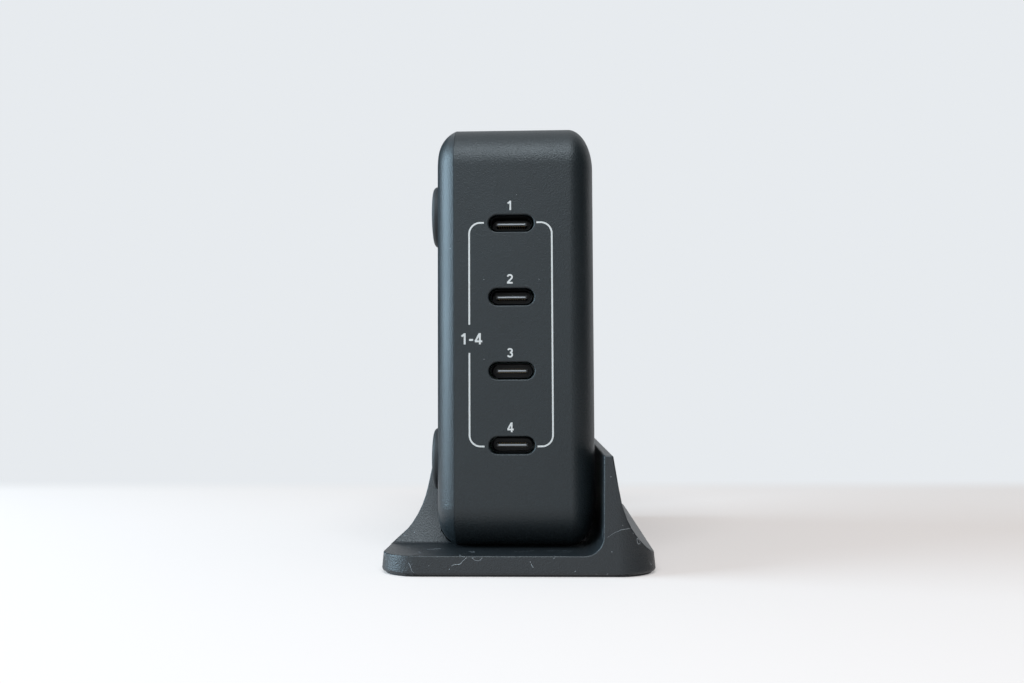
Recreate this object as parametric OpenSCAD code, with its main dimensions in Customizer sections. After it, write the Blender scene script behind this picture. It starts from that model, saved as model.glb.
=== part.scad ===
// Four-port desktop charger standing on edge in a one-piece cradle.
// Millimetres, +Z up, ports face -Y, origin at the middle of the footprint.

/* [Charger body] */
// Thickness of the charger between its two large faces
charger_w = 34.5; // [33.5:0.5:44]
// Depth of the charger from the port face to the mains inlet
charger_d = 92; // [90:1:120]
// Height of the charger when it stands on edge
charger_h = 92.6; // [90:0.2:120]
// Radius of the four corners seen from the side
corner_r = 9.5; // [8:0.1:13]
// How deep the soft edge of the closed face reaches into the port face
edge_drop = 5.5; // [3:0.1:7]
// How far the soft edge reaches across the closed face
edge_reach = 9.3; // [6:0.1:9.4]
// Wall round the outside of the shell
wall = 2.2; // [1.6:0.1:2.8]
// Wall of the closed large face
face_wall = 2; // [1.4:0.1:3]

/* [Side cover] */
// Height of the side cover up to the seam
seam_h = 4.1; // [3.6:0.1:5]
// Radius of the rounded edge of the cover
cover_edge_r = 6.5; // [5.8:0.1:7.5]
// Wall of the cover
cover_wall = 2; // [1.6:0.1:2.4]
// Open line between the cover and the shell
seam_gap = 0.12; // [0.05:0.01:0.3]
// Thickness of the locating lip inside the seam
lip_t = 1; // [0.8:0.1:1.4]
// How far the lip reaches into the shell
lip_h = 2; // [1:0.1:3]
// Play round the lip
lip_play = 0.1; // [0.05:0.01:0.2]

/* [Rubber feet and cover screws] */
// Radius of a rubber foot
foot_r = 6.9; // [5.5:0.1:8]
// How far a foot stands out of the cover
foot_out = 1.5; // [0.8:0.1:2.5]
// Depth of the recess that holds a foot
foot_recess = 0.8; // [0.5:0.1:1]
// Rounding of the outer rim of a foot
foot_round = 0.7; // [0.3:0.1:0.8]
// Distance between the upper and the lower feet
foot_pitch = 54.9; // [48:0.1:62]
// Play round a foot in its recess
foot_play = 0.1; // [0.05:0.01:0.2]
// Outside diameter of a screw boss
boss_d = 7; // [6:0.1:8]
// Diameter of a cover screw
screw_d = 2.6; // [2:0.1:3]
// Length of a cover screw under its head
screw_len = 12; // [9:0.5:16]
// Diameter of a screw head
head_d = 5; // [4.6:0.1:5.5]
// Height of a screw head
head_h = 1.2; // [0.8:0.1:1.4]
// Width of the cross slot in a screw head
drive_w = 0.7; // [0.5:0.1:0.9]
// Play round a screw
screw_play = 0.1; // [0.05:0.01:0.2]

/* [Ports] */
// Distance between neighbouring ports
port_pitch = 15.96; // [14:0.02:17.5]
// Sideways shift of the ports from the middle of the charger towards the cover
port_shift = 0.7; // [0:0.1:2]
// Width of the opening in the port face
slot_w = 9.8; // [9.6:0.05:11]
// Height of the opening in the port face
slot_h = 3.7; // [3.6:0.05:4.2]
// Bevel round the opening
slot_bevel = 0.35; // [0.2:0.05:0.6]
// How far a receptacle sits behind the port face
port_setback = 0.9; // [0.5:0.1:1.5]
// Width of a receptacle over its metal shell
port_w = 9.1; // [8.9:0.05:9.3]
// Height of a receptacle over its metal shell
port_h = 3.3; // [3.2:0.05:3.4]
// Sheet thickness of the metal shell
port_wall = 0.25; // [0.2:0.01:0.3]
// Length of a receptacle
port_len = 6.2; // [5.6:0.1:7]
// Width of the contact tongue
tongue_w = 6.69; // [6.4:0.01:7]
// Thickness of the contact tongue
tongue_t = 0.7; // [0.6:0.01:0.8]
// How far the tongue sits behind the rim of its shell
tongue_setback = 0.9; // [0.6:0.1:1.4]
// Thickness of the insulator at the root of the tongue
insulator_t = 1.5; // [1:0.1:2]

/* [Mains inlet] */
// Spacing of the two inlet pins
pin_pitch = 8.6; // [8:0.1:9.4]
// Diameter of an inlet pin
pin_d = 2.36; // [2.2:0.02:2.5]
// Radius of each lobe of the inlet recess
lobe_r = 4.1; // [3.8:0.1:4.4]
// Height of the waist between the lobes
waist_h = 5.2; // [4.8:0.1:6]
// Depth of the inlet recess
recess_depth = 12.4; // [11:0.1:13.5]
// How far the pin tips sit inside the recess
pin_setback = 3.2; // [2:0.1:4.5]
// Wall of the inlet body round the recess
inlet_wall = 1.9; // [1.6:0.1:2.2]
// Thickness of the inlet's bottom
inlet_floor = 2.6; // [2:0.1:3.2]
// Rim by which the inlet's flange overlaps the shell wall from inside
flange_rim = 1.8; // [1.2:0.1:2.2]
// Thickness of the flange
flange_t = 1.5; // [1:0.1:2]
// Play between the inlet and its cut-out
inlet_play = 0.15; // [0.1:0.01:0.3]
// Length of a pin's tail behind the inlet
pin_tail = 2; // [1.5:0.1:3]
// Diameter of an inlet lead
lead_d = 1.8; // [1.4:0.1:2.2]
// Bend radius of an inlet lead along its middle
lead_bend = 3; // [2.2:0.1:3.6]

/* [Boards and heat path] */
// Space between the cover and the main board
board_lift = 3; // [2.6:0.1:4]
// Thickness of the main board
board_t = 1.6; // [1.2:0.1:2]
// Space between the main board's edge and the lip
board_play = 0.5; // [0.3:0.1:1]
// Thickness of the port board
port_board_t = 1.2; // [1:0.1:1.6]
// Length of the port board beyond the end ports
port_board_end = 4.6; // [3.5:0.1:5.5]
// Height of the port board above the ports' middle line
port_board_top = 8.5; // [6:0.1:10]
// Gap between the port board and the screw bosses
boss_gap = 0.6; // [0.4:0.1:1]
// Thickness of the insulating sheet on the cover
sheet_t = 0.3; // [0.2:0.05:0.5]
// Thickness of the aluminium heat spreader
spreader_t = 1; // [0.6:0.1:1.5]

/* [Parts on the main board] */
// Outside diameter of the bare choke core
choke_d = 17; // [15:0.5:18]
// Inside diameter of the bare choke core
choke_bore = 9.5; // [8.5:0.5:10]
// Height of the bare choke core
choke_h = 7; // [6:0.5:9]
// Thickness of the copper round the choke core
copper_t = 1.4; // [1:0.1:1.7]
// Diameter of a bulk capacitor
bulk_d = 16; // [14:0.5:16.5]
// Rounding of a bulk capacitor's ends and depth of its neck
can_round = 0.7; // [0.4:0.1:1]
// Distance from a bulk capacitor's end to its neck
neck_y = 2.9; // [2.4:0.1:3.6]
// Gap between the two bulk capacitors
bulk_gap = 0.6; // [0.3:0.1:1]
// Thickness of the pad between the transformer and the heat spreader
pad_t = 2.9; // [1:0.1:5]
// Thickness of the top and bottom plates of a core
core_plate = 4.2; // [3:0.1:5]
// Gap between a winding and its core
winding_gap = 0.3; // [0.2:0.05:0.5]
// Width of the inductor core across its legs
boost_w = 15; // [13:0.5:16]
// Height of the inductor core
boost_h = 18; // [15:0.5:20]
// Side of an output inductor
coil_side = 9; // [7:0.5:9.5]
// Height of an output inductor
coil_h = 5; // [4:0.1:6]
// Spacing of the output inductors
coil_pitch = 11; // [10.5:0.1:11.5]
// Diameter of an output capacitor
out_d = 8; // [6:0.5:8.5]
// Height of an output capacitor
out_h = 12; // [8:0.5:16]
// Spacing of the output capacitors
out_pitch = 10; // [9.5:0.1:10.5]
// Length of the heat sink
sink_len = 24; // [22:0.5:25]
// Height of the heat sink
sink_h = 18; // [14:0.5:20]
// Thickness of the heat sink
sink_t = 1.6; // [1:0.1:2]
// Thickness of a power transistor
chip_t = 4.2; // [3:0.1:4.5]
// Diameter of the fuse
fuse_d = 8.4; // [6:0.1:8.6]
// Height of the fuse
fuse_h = 8; // [6:0.5:10]
// Width of the film capacitor
film_w = 8; // [6:0.5:8.5]
// Length of the film capacitor
film_len = 10.5; // [9:0.5:10.5]
// Height of the film capacitor
film_h = 14; // [10:0.5:16]
// Space between neighbouring parts on the board
part_gap = 2.5; // [1.5:0.1:3]
// Space between the port board and the output inductors
coil_gap = 5.2; // [4:0.1:6]
// Space between the outer parts and the board's edge
edge_gap = 1; // [0.6:0.1:1.4]
// Width of a power transistor
chip_w = 10; // [8:0.5:10.5]
// Height of a power transistor
chip_h = 14; // [10:0.5:15]
// Spacing of the power transistors
chip_pitch = 12; // [11.5:0.1:12.5]
// Width of the bridge rectifier
bridge_w = 16; // [12:0.5:20]
// Height of the bridge rectifier
bridge_h = 13; // [10:0.5:15]
// Thickness of the bridge rectifier
bridge_t = 3.4; // [3:0.1:4]
// Free length of a package's legs
leg_h = 2; // [1:0.1:3]
// Width of a package's leg
leg_w = 0.8; // [0.5:0.1:1]
// Thickness of a package's leg
leg_t = 0.5; // [0.4:0.1:0.8]
// Spacing of a transistor's legs
leg_pitch = 2.5; // [2:0.1:3]
// Side of a controller chip
control_side = 6; // [4:0.5:7]
// Thickness of a controller chip
control_t = 1; // [0.8:0.1:1.4]

/* [Cradle] */
// Space between the charger and the cradle wall beside it, both sides shared
slot_play = 0.6; // [0.3:0.05:1]
// Gap between the charger and the short wall
short_wall_gap = 0.1; // [0.05:0.01:0.3]
// How far the cradle reaches past the charger at the front and the back
cradle_margin = 7.4; // [4:0.1:12]
// How far the cradle reaches out past its slot on each side
side_reach = 11.3; // [10.5:0.1:14]
// Thickness of the cradle floor with its mat
floor_h = 4.33; // [3.6:0.01:5.5]
// Height of the cradle walls above the table
wall_h = 24.83; // [21:0.01:27]
// Radius of the plan corners
plan_r = 8.4; // [6:0.1:10]
// Radius of the hollow flare outside each wall
flare_r = 19; // [17:0.1:20]
// Slope of the flare where it meets the floor, from upright
flare_foot_angle = 53.5; // [50:0.5:56]
// Slope of the straight upper part of the wall, from upright
wall_slope = 9.4; // [8:0.1:11]
// Flat left between the flare and the cradle's side
flare_ledge = 0.38; // [0.2:0.01:0.8]
// How much the slot widens towards its top on each side
slot_draft = 0.2; // [0.1:0.01:0.3]
// Radius at the bottom of the slot
slot_fillet = 4; // [2.5:0.1:4.4]
// Clearance between the lower feet and the ends of the short wall
foot_wall_gap = 0.3; // [0.2:0.05:2]
// Lean of the short wall's ends, from upright
short_wall_lean = 26.4; // [24:0.1:32]
// Fillet at the foot of the short wall's ends
short_wall_fillet = 1.2; // [0.6:0.1:2]
// Thickness of the rubber mat under the cradle
mat_t = 0.8; // [0.6:0.1:1.2]
// How far the mat stands out below
mat_out = 0.45; // [0.3:0.05:0.55]
// Distance from the mat's edge to the cradle's side
mat_inset = 1.5; // [1:0.1:3]

/* [Hidden] */
$fn = 64;
joint = 0.01;         // overlap of solids that are one piece
arc_steps = 12;       // flats along a soft edge
port_count = 4;

// Cradle
slot_half = charger_w / 2 + slot_play;
charger_shift = slot_play - short_wall_gap;
cradle_half = slot_half + side_reach;
cradle_d = charger_d + 2 * cradle_margin;
flare_foot = [cradle_half - flare_ledge, floor_h];
flare_mid = flare_foot + flare_r * [cos(flare_foot_angle), sin(flare_foot_angle)];
flare_head = flare_mid - flare_r * [cos(wall_slope), sin(wall_slope)];
wall_top_x = flare_head[0] - (wall_h - flare_head[1]) * tan(wall_slope);

// Charger, laid on its cover: X runs down the port face, Y to the back, Z up from the cover
charger_z = floor_h + charger_h / 2;
cover_edge_angle = acos(1 - seam_h / cover_edge_r);
cover_flat = corner_r - cover_edge_r * sin(cover_edge_angle);
board_z = cover_wall + board_lift;
board_top = board_z + board_t;
board_inset = wall + lip_play + lip_t + board_play;
ceiling = charger_w - face_wall;
front = -charger_d / 2;
back = charger_d / 2;
port_z = charger_w / 2 - port_shift;
port_y = front + port_setback;
port_board_y = port_y + port_len;
screw_inset = port_setback + port_len + port_board_t + boss_gap + boss_d / 2;
screw_y = charger_d / 2 - screw_inset;
foot_rise = (charger_h - foot_pitch) / 2;
short_wall_inset = cradle_margin + screw_inset
  + (foot_r + foot_wall_gap - foot_rise * sin(short_wall_lean)) / cos(short_wall_lean);
screw_tip = foot_recess + head_h + screw_len;
inlet_z = charger_w / 2;
inlet_w = pin_pitch + 2 * (lobe_r + inlet_wall);
inlet_h = 2 * (lobe_r + inlet_wall);
inlet_len = recess_depth + inlet_floor;
lead_y = back - inlet_len - pin_tail - lead_bend;

// Places on the main board, worked inwards from its ends and edges
board_half_x = charger_h / 2 - board_inset;
board_half_y = charger_d / 2 - board_inset;
side_x = board_half_x - edge_gap;
coil_y = port_board_y + port_board_t + coil_gap + coil_side / 2;
out_y = coil_y + (coil_side + out_d) / 2 + part_gap;
middle_y = out_y + out_d / 2 + part_gap;
film_place = [-inlet_w / 2 - flange_rim - edge_gap - film_w / 2,
  board_half_y - edge_gap / 2 - film_len / 2];
fuse_place = [inlet_w / 2 + flange_rim + edge_gap + fuse_d / 2, board_half_y - edge_gap - fuse_d / 2];
choke_r = choke_d / 2 + copper_t;
choke_place = [film_place[0], film_place[1] - film_len / 2 - part_gap - choke_r];
choke_front = choke_place[1] - choke_r - part_gap;
sink_place = [pin_pitch / 2 + lead_d / 2 + part_gap + sink_len / 2,
  screw_y - boss_d / 2 - part_gap - bridge_t - sink_t / 2];
bulk_len = sink_place[1] - sink_t / 2 - chip_t - part_gap - middle_y;
bulk_x = [side_x - bulk_d / 2, side_x - bulk_gap - bulk_d * 3 / 2];
boost_len = choke_front - middle_y;
boost_place = [bulk_x[1] - bulk_d / 2 - part_gap - boost_w / 2, middle_y + boost_len / 2];
out_x = boost_place[0] - boost_w / 2 + out_d / 2;
core_y = coil_y + coil_side / 2 + part_gap;
core_len = choke_front - core_y;
core_w = boost_place[0] - boost_w / 2 - part_gap + side_x - 2 * edge_gap;
core_h = ceiling - spreader_t - pad_t - board_top;
transformer_place = [core_w / 2 - side_x + 2 * edge_gap, core_y + core_len / 2];
control_x = side_x - control_side / 2;
control_place = [[control_x, out_y], [control_x, coil_y]];

function port_x(i) = (i - (port_count + 1) / 2) * port_pitch;
function arc(c, r, a0, a1, n = arc_steps) =
  [for (k = [0 : n]) let (a = a0 + (a1 - a0) * k / n) c + r * [cos(a), sin(a)]];

// Turns the charger from lying on its cover to standing in the cradle
module upright() {
  translate([-charger_shift - charger_w / 2, 0, charger_z]) rotate([0, 90, 0]) children();
}

// Square with round corners
module round_rect(x, y, r) {
  square([x - 2 * r, y], center = true);
  square([x, y - 2 * r], center = true);
  for (sx = [-1, 1], sy = [-1, 1]) translate([sx * (x / 2 - r), sy * (y / 2 - r)]) circle(r);
}

// Slab with round corners, from height z0 to z1
module slab(x, y, r, z0, z1) {
  translate([0, 0, z0]) linear_extrude(z1 - z0) round_rect(x, y, r);
}

// Block whose edge outline, given as [distance from the corner's middle, height] pairs,
// runs straight along the four sides and turns round the four corners
module edged_block(x, y, r, edge) {
  z0 = edge[0][1];
  z1 = edge[len(edge) - 1][1];
  outline = concat([[0, z0]], edge, [[0, z1]]);
  translate([r - x / 2, r - y / 2, z0]) cube([x - 2 * r, y - 2 * r, z1 - z0]);
  for (k = [0 : 3]) {
    along = k % 2 == 0 ? y : x;
    across = k % 2 == 0 ? x : y;
    rotate([0, 0, 90 * k]) translate([across / 2 - r, along / 2 - r, 0]) {
      rotate([90, 0, 0]) linear_extrude(along - 2 * r) polygon(outline);
      rotate_extrude(angle = 90) polygon(outline);
    }
  }
}

// Edge outline of the shell, drawn a distance in from the outside
function shell_edge(in, z0, top) = concat([[corner_r - in, z0]],
  [for (k = [0 : arc_steps]) let (a = 90 * k / arc_steps)
    [corner_r - in - (edge_reach - in) * (1 - cos(a)), top - edge_drop * (1 - sin(a))]]);

// Edge outline of the cover up to height z1, drawn a distance in from the outside
function cover_edge(in, z1) = arc([cover_flat, cover_edge_r], cover_edge_r - in,
  -90, -90 + acos((cover_edge_r - z1) / (cover_edge_r - in)));

// Long hole with round ends: w along X, h along Y, from z = 0 up
module long_hole(w, h, depth) {
  linear_extrude(depth) {
    square([w - h, h], center = true);
    for (s = [-1, 1]) translate([s * (w - h) / 2, 0]) circle(h / 2);
  }
}

// Bevel that widens a long hole by c over a depth of c, from z = 0 up
module long_bevel(w, h, c) {
  flat = w - h;
  for (s = [-1, 1]) translate([s * flat / 2, 0, 0]) cylinder(h = c, r1 = h / 2 + c, r2 = h / 2);
  translate([-flat / 2, 0, 0]) rotate([90, 0, 90]) linear_extrude(flat)
    polygon([[-h / 2 - c, 0], [h / 2 + c, 0], [h / 2, c], [-h / 2, c]]);
}

// Puts a shape drawn across the port face at port i, its depth running to the back
module at_port(i, y) {
  translate([port_x(i), y, port_z]) rotate([0, 90, 0]) rotate([-90, 0, 0]) children();
}

// Repeats at the four cover screws
module at_screws() {
  for (sx = [-1, 1], sy = [-1, 1]) translate([sx * foot_pitch / 2, sy * screw_y, 0]) children();
}

// Puts a part on the main board
module on_board(place) {
  translate([place[0], place[1], board_top]) children();
}

// Upright wall of the cradle and its share of the floor, drawn as a front view
module wall_profile() {
  polygon(concat(
    [[0, mat_out], [cradle_half, mat_out], [cradle_half, floor_h]],
    arc(flare_mid, flare_r, 180 + flare_foot_angle, 180 + wall_slope),
    [[wall_top_x, wall_h], [slot_half + slot_draft, wall_h]],
    arc([slot_half - slot_fillet, floor_h + slot_fillet], slot_fillet, 0, -90, 8),
    [[0, floor_h]]));
}

// Side view of the short wall: ends lean inwards and run into the floor
module short_wall_side() {
  foot = cradle_d / 2 - short_wall_inset;
  rise = wall_h - floor_h;
  lean = short_wall_lean;
  r = short_wall_fillet;
  end = concat(
    [[foot + r * (1 - sin(lean)) / cos(lean), 0]],
    arc([foot + r * (1 - sin(lean)) / cos(lean), floor_h + r], r, -90, -180 + lean, 6),
    [[foot - rise * tan(lean), wall_h]]);
  polygon(concat([for (k = [0 : len(end) - 1]) end[k]],
    [for (k = [len(end) - 1 : -1 : 0]) [-end[k][0], end[k][1]]]));
}

module cradle() {
  color([0.2, 0.22, 0.24]) difference() {
    intersection() {
      union() {
        // Floor
        translate([-cradle_half, -cradle_d / 2, mat_out])
          cube([2 * cradle_half, cradle_d, floor_h - mat_out]);
        // Full-length wall
        translate([0, cradle_d / 2, 0]) rotate([90, 0, 0]) linear_extrude(cradle_d) wall_profile();
        // Short wall between the feet
        intersection() {
          translate([0, cradle_d / 2, 0]) rotate([90, 0, 0]) linear_extrude(cradle_d)
            mirror([1, 0]) wall_profile();
          rotate([90, 0, -90]) linear_extrude(cradle_half) short_wall_side();
        }
      }
      slab(2 * cradle_half, cradle_d, plan_r, 0, wall_h + 1);
    }
    slab(2 * (cradle_half - mat_inset), cradle_d - 2 * mat_inset, plan_r - mat_inset, 0, mat_t);
  }
}

module cradle_mat() {
  color([0.09, 0.09, 0.1])
    slab(2 * (cradle_half - mat_inset - joint), cradle_d - 2 * (mat_inset + joint),
      plan_r - mat_inset - joint, 0, mat_t);
}

// Front, back, top, bottom and closed face of the charger in one moulding
module main_shell() {
  color([0.22, 0.24, 0.25]) upright() difference() {
    union() {
      difference() {
        edged_block(charger_h, charger_d, corner_r, shell_edge(0, seam_h + seam_gap, charger_w));
        edged_block(charger_h - 2 * wall, charger_d - 2 * wall, corner_r - wall,
          shell_edge(wall, seam_h - 1, ceiling));
      }
      at_screws() translate([0, 0, board_top]) cylinder(h = ceiling + joint - board_top, d = boss_d);
    }
    at_screws() translate([0, 0, board_top - 1])
      cylinder(h = screw_tip + 2 - board_top, d = screw_d + screw_play);
    for (i = [1 : port_count]) {
      at_port(i, front - joint) long_bevel(slot_w, slot_h, slot_bevel + joint);
      at_port(i, front - 1) long_hole(slot_w, slot_h, wall + 2);
    }
    translate([0, back - wall / 2, inlet_z])
      cube([inlet_w + 2 * inlet_play, wall + 2, inlet_h + 2 * inlet_play], center = true);
  }
}

// Cover that closes the open side, carries the feet and hides the screws under them
module side_cover() {
  hollow_top = seam_h + joint;
  lip_out = wall + lip_play;
  lip_in = lip_out + lip_t;
  color([0.24, 0.27, 0.29]) upright() difference() {
    union() {
      difference() {
        edged_block(charger_h, charger_d, corner_r, cover_edge(0, seam_h));
        edged_block(charger_h, charger_d, corner_r, cover_edge(cover_wall, hollow_top));
      }
      difference() {
        slab(charger_h - 2 * lip_out, charger_d - 2 * lip_out, corner_r - lip_out,
          cover_wall + 1, seam_h + lip_h);
        slab(charger_h - 2 * lip_in, charger_d - 2 * lip_in, corner_r - lip_in,
          cover_wall, seam_h + lip_h + 1);
      }
      at_screws() translate([0, 0, cover_wall - joint]) cylinder(h = board_lift + joint, d = boss_d);
    }
    at_screws() {
      translate([0, 0, -1]) cylinder(h = 1 + foot_recess, r = foot_r + foot_play);
      cylinder(h = foot_recess + head_h, d = head_d + 2 * screw_play);
      cylinder(h = board_z + 1, d = screw_d + 2 * screw_play);
    }
  }
}

// Rubber foot i: 1 and 2 at the front, 3 and 4 at the back, odd ones above
module foot(i) {
  sx = i % 2 == 1 ? -1 : 1;
  sy = i <= 2 ? -1 : 1;
  color([0.07, 0.08, 0.09]) upright() translate([sx * foot_pitch / 2, sy * screw_y, foot_recess])
    mirror([0, 0, 1]) rotate_extrude() polygon(concat(
      [[0, 0], [foot_r, 0]],
      arc([foot_r - foot_round, foot_recess + foot_out - foot_round], foot_round, 0, 90, 6),
      [[0, foot_recess + foot_out]]));
}

module cover_screws() {
  color([0.5, 0.5, 0.52]) upright() at_screws() difference() {
    union() {
      translate([0, 0, foot_recess]) cylinder(h = head_h, d = head_d);
      translate([0, 0, foot_recess]) cylinder(h = screw_tip - foot_recess, d = screw_d);
    }
    translate([0, 0, foot_recess]) for (a = [0, 90])
      rotate([0, 0, a]) cube([head_d * 0.7, drive_w, head_h], center = true);
  }
}

// Film between the cover and the soldered side of the main board
module insulating_sheet() {
  inset = corner_r - cover_flat + board_play;
  color([0.75, 0.72, 0.6]) upright() difference() {
    slab(charger_h - 2 * inset, charger_d - 2 * inset, 2, cover_wall, cover_wall + sheet_t);
    at_screws() cylinder(h = board_z, d = boss_d + 2 * board_play);
  }
}

// Plate that carries heat from the transformer to the closed face
module heat_spreader() {
  inset = edge_reach + board_play;
  color([0.75, 0.76, 0.78]) upright() difference() {
    slab(charger_h - 2 * inset, charger_d - 2 * inset, 3, ceiling - spreader_t, ceiling);
    at_screws() cylinder(h = charger_w, d = boss_d + 2 * board_play);
  }
}

module thermal_pad() {
  color([0.45, 0.6, 0.75]) upright() on_board(transformer_place)
    translate([-core_w / 2 + edge_gap, -core_len / 2 + edge_gap, core_h])
      cube([core_w - 2 * edge_gap, core_len - 2 * edge_gap, pad_t]);
}

module main_board() {
  color([0.12, 0.35, 0.2]) upright() difference() {
    slab(charger_h - 2 * board_inset, charger_d - 2 * board_inset, corner_r - board_inset,
      board_z, board_top);
    at_screws() cylinder(h = board_top + 1, d = screw_d + 4 * screw_play);
  }
}

// Board behind the port face that carries the four receptacles
module port_board() {
  half = port_x(port_count) + port_board_end;
  color([0.12, 0.35, 0.2]) upright() translate([-half, port_board_y, board_top])
    cube([2 * half, port_board_t, port_z + port_board_top - board_top]);
}

module port_shell(i) {
  color([0.35, 0.36, 0.37]) upright() at_port(i, port_y) difference() {
    long_hole(port_w, port_h, port_len);
    translate([0, 0, -1])
      long_hole(port_w - 2 * port_wall, port_h - 2 * port_wall, port_len + 2);
  }
}

module port_tongue(i) {
  color([0.15, 0.15, 0.16]) upright() at_port(i, port_y) {
    translate([0, 0, port_len - insulator_t])
      long_hole(port_w - 2 * port_wall, port_h - 2 * port_wall, insulator_t);
    translate([-tongue_w / 2, -tongue_t / 2, tongue_setback])
      cube([tongue_w, tongue_t, port_len - tongue_setback - insulator_t + joint]);
  }
}

// Two-pin inlet with a recess of two round lobes
module mains_inlet() {
  color([0.1, 0.1, 0.11]) upright() translate([0, back, inlet_z]) rotate([90, 0, 0]) difference() {
    union() {
      translate([-inlet_w / 2, -inlet_h / 2, 0]) cube([inlet_w, inlet_h, inlet_len]);
      translate([-inlet_w / 2 - flange_rim, -inlet_h / 2 - flange_rim, wall])
        cube([inlet_w + 2 * flange_rim, inlet_h + 2 * flange_rim, flange_t]);
    }
    translate([0, 0, -1]) linear_extrude(recess_depth + 1) {
      square([pin_pitch, waist_h], center = true);
      for (s = [-1, 1]) translate([s * pin_pitch / 2, 0]) circle(lobe_r);
    }
    for (s = [-1, 1]) translate([s * pin_pitch / 2, 0, recess_depth - 1])
      cylinder(h = inlet_floor + 2, d = pin_d + joint);
  }
}

module inlet_pins() {
  color([0.8, 0.78, 0.7]) upright() for (s = [-1, 1])
    translate([s * pin_pitch / 2, back, inlet_z]) rotate([90, 0, 0]) {
      translate([0, 0, pin_setback + pin_d / 2])
        cylinder(h = inlet_len + pin_tail - pin_setback - pin_d / 2, d = pin_d);
      translate([0, 0, pin_setback + pin_d / 2]) sphere(d = pin_d);
    }
}

// Insulated leads from the pins down to the main board
module inlet_leads() {
  color([0.6, 0.12, 0.1]) upright() for (s = [-1, 1]) translate([s * pin_pitch / 2, lead_y, 0]) {
    translate([0, lead_bend, inlet_z - lead_bend]) rotate([90, 0, -90]) rotate_extrude(angle = 90)
      translate([lead_bend, 0]) circle(d = lead_d);
    translate([0, 0, board_top]) cylinder(h = inlet_z - lead_bend - board_top, d = lead_d);
  }
}

module fuse() {
  color([0.15, 0.15, 0.17]) upright() on_board(fuse_place) cylinder(h = fuse_h, d = fuse_d);
}

module film_capacitor() {
  color([0.8, 0.68, 0.2]) upright() on_board(film_place)
    translate([-film_w / 2, -film_len / 2, 0]) cube([film_w, film_len, film_h]);
}

module choke_core() {
  color([0.2, 0.5, 0.35]) upright() on_board(choke_place) translate([0, 0, copper_t])
    difference() {
      cylinder(h = choke_h, d = choke_d);
      translate([0, 0, -1]) cylinder(h = choke_h + 2, d = choke_bore);
    }
}

// Two windings, each round one side of the ring
module choke_windings() {
  sweep = 130;
  section_in = choke_bore / 2;
  section_out = choke_d / 2;
  color([0.75, 0.42, 0.2]) upright() on_board(choke_place) for (a = [0, 180])
    rotate([0, 0, a - sweep / 2]) rotate_extrude(angle = sweep) difference() {
      translate([section_in - copper_t, 0])
        square([section_out - section_in + 2 * copper_t, choke_h + 2 * copper_t]);
      translate([section_in - joint, copper_t - joint])
        square([section_out - section_in + 2 * joint, choke_h + 2 * joint]);
    }
}

module heat_sink() {
  color([0.7, 0.71, 0.73]) upright() on_board(sink_place)
    translate([-sink_len / 2, -sink_t / 2, 0]) cube([sink_len, sink_t, sink_h]);
}

module power_transistors() {
  color([0.13, 0.13, 0.14]) upright() on_board(sink_place) for (s = [-1, 1])
    translate([s * chip_pitch / 2, -sink_t / 2 - chip_t, 0]) {
      translate([-chip_w / 2, 0, leg_h]) cube([chip_w, chip_t, chip_h]);
      for (k = [-1 : 1]) translate([k * leg_pitch - leg_w / 2, (chip_t - leg_t) / 2, 0])
        cube([leg_w, leg_t, leg_h + joint]);
    }
}

module bridge_rectifier() {
  color([0.16, 0.16, 0.17]) upright() on_board(sink_place) translate([0, sink_t / 2, 0]) {
    translate([-bridge_w / 2, 0, leg_h]) cube([bridge_w, bridge_t, bridge_h]);
    for (k = [-3 : 2 : 3]) translate([k * bridge_w / 8 - leg_w / 2, (bridge_t - leg_t) / 2, 0])
      cube([leg_w, leg_t, leg_h + joint]);
  }
}

// Electrolytic capacitor i lying on the board, with the rolled neck near its front end
module bulk_capacitor(i) {
  r = bulk_d / 2;
  color([0.15, 0.18, 0.3]) upright() on_board([bulk_x[i - 1], middle_y]) translate([0, 0, r])
    rotate([-90, 0, 0]) rotate_extrude() polygon([[0, 0], [r - can_round, 0], [r, can_round],
      [r, neck_y - can_round], [r - can_round, neck_y], [r, neck_y + can_round],
      [r, bulk_len - can_round], [r - can_round, bulk_len], [0, bulk_len]]);
}

// Ferrite core of two plates, a round middle leg and two outer legs along the sides
module ferrite_core(w, len, h) {
  leg = w * 0.16;
  translate([-w / 2, -len / 2, 0]) cube([w, len, core_plate]);
  translate([-w / 2, -len / 2, h - core_plate]) cube([w, len, core_plate]);
  for (s = [0, 1]) translate([-w / 2 + s * (w - leg), -len / 2, 0]) cube([leg, len, h]);
  cylinder(h = h, d = w * 0.36);
}

// Winding round the middle leg of a ferrite core
module core_winding(w, h) {
  translate([0, 0, core_plate + winding_gap]) difference() {
    cylinder(h = h - 2 * (core_plate + winding_gap), d = w * 0.68 - 2 * winding_gap);
    translate([0, 0, -1]) cylinder(h = h, d = w * 0.36 + winding_gap);
  }
}

module transformer_core() {
  color([0.25, 0.25, 0.27]) upright() on_board(transformer_place)
    ferrite_core(core_w, core_len, core_h);
}

module transformer_winding() {
  color([0.8, 0.7, 0.25]) upright() on_board(transformer_place) core_winding(core_w, core_h);
}

module boost_core() {
  color([0.25, 0.25, 0.27]) upright() on_board(boost_place)
    ferrite_core(boost_w, boost_len, boost_h);
}

module boost_winding() {
  color([0.75, 0.42, 0.2]) upright() on_board(boost_place) core_winding(boost_w, boost_h);
}

module output_inductor(i) {
  color([0.3, 0.3, 0.32]) upright()
    on_board([(i - (port_count + 1) / 2) * coil_pitch, coil_y])
      translate([-coil_side / 2, -coil_side / 2, 0]) cube([coil_side, coil_side, coil_h]);
}

module output_capacitor(i) {
  color([0.55, 0.57, 0.6]) upright()
    on_board([out_x + (i - 1) * out_pitch, out_y])
      cylinder(h = out_h, d = out_d);
}

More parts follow.
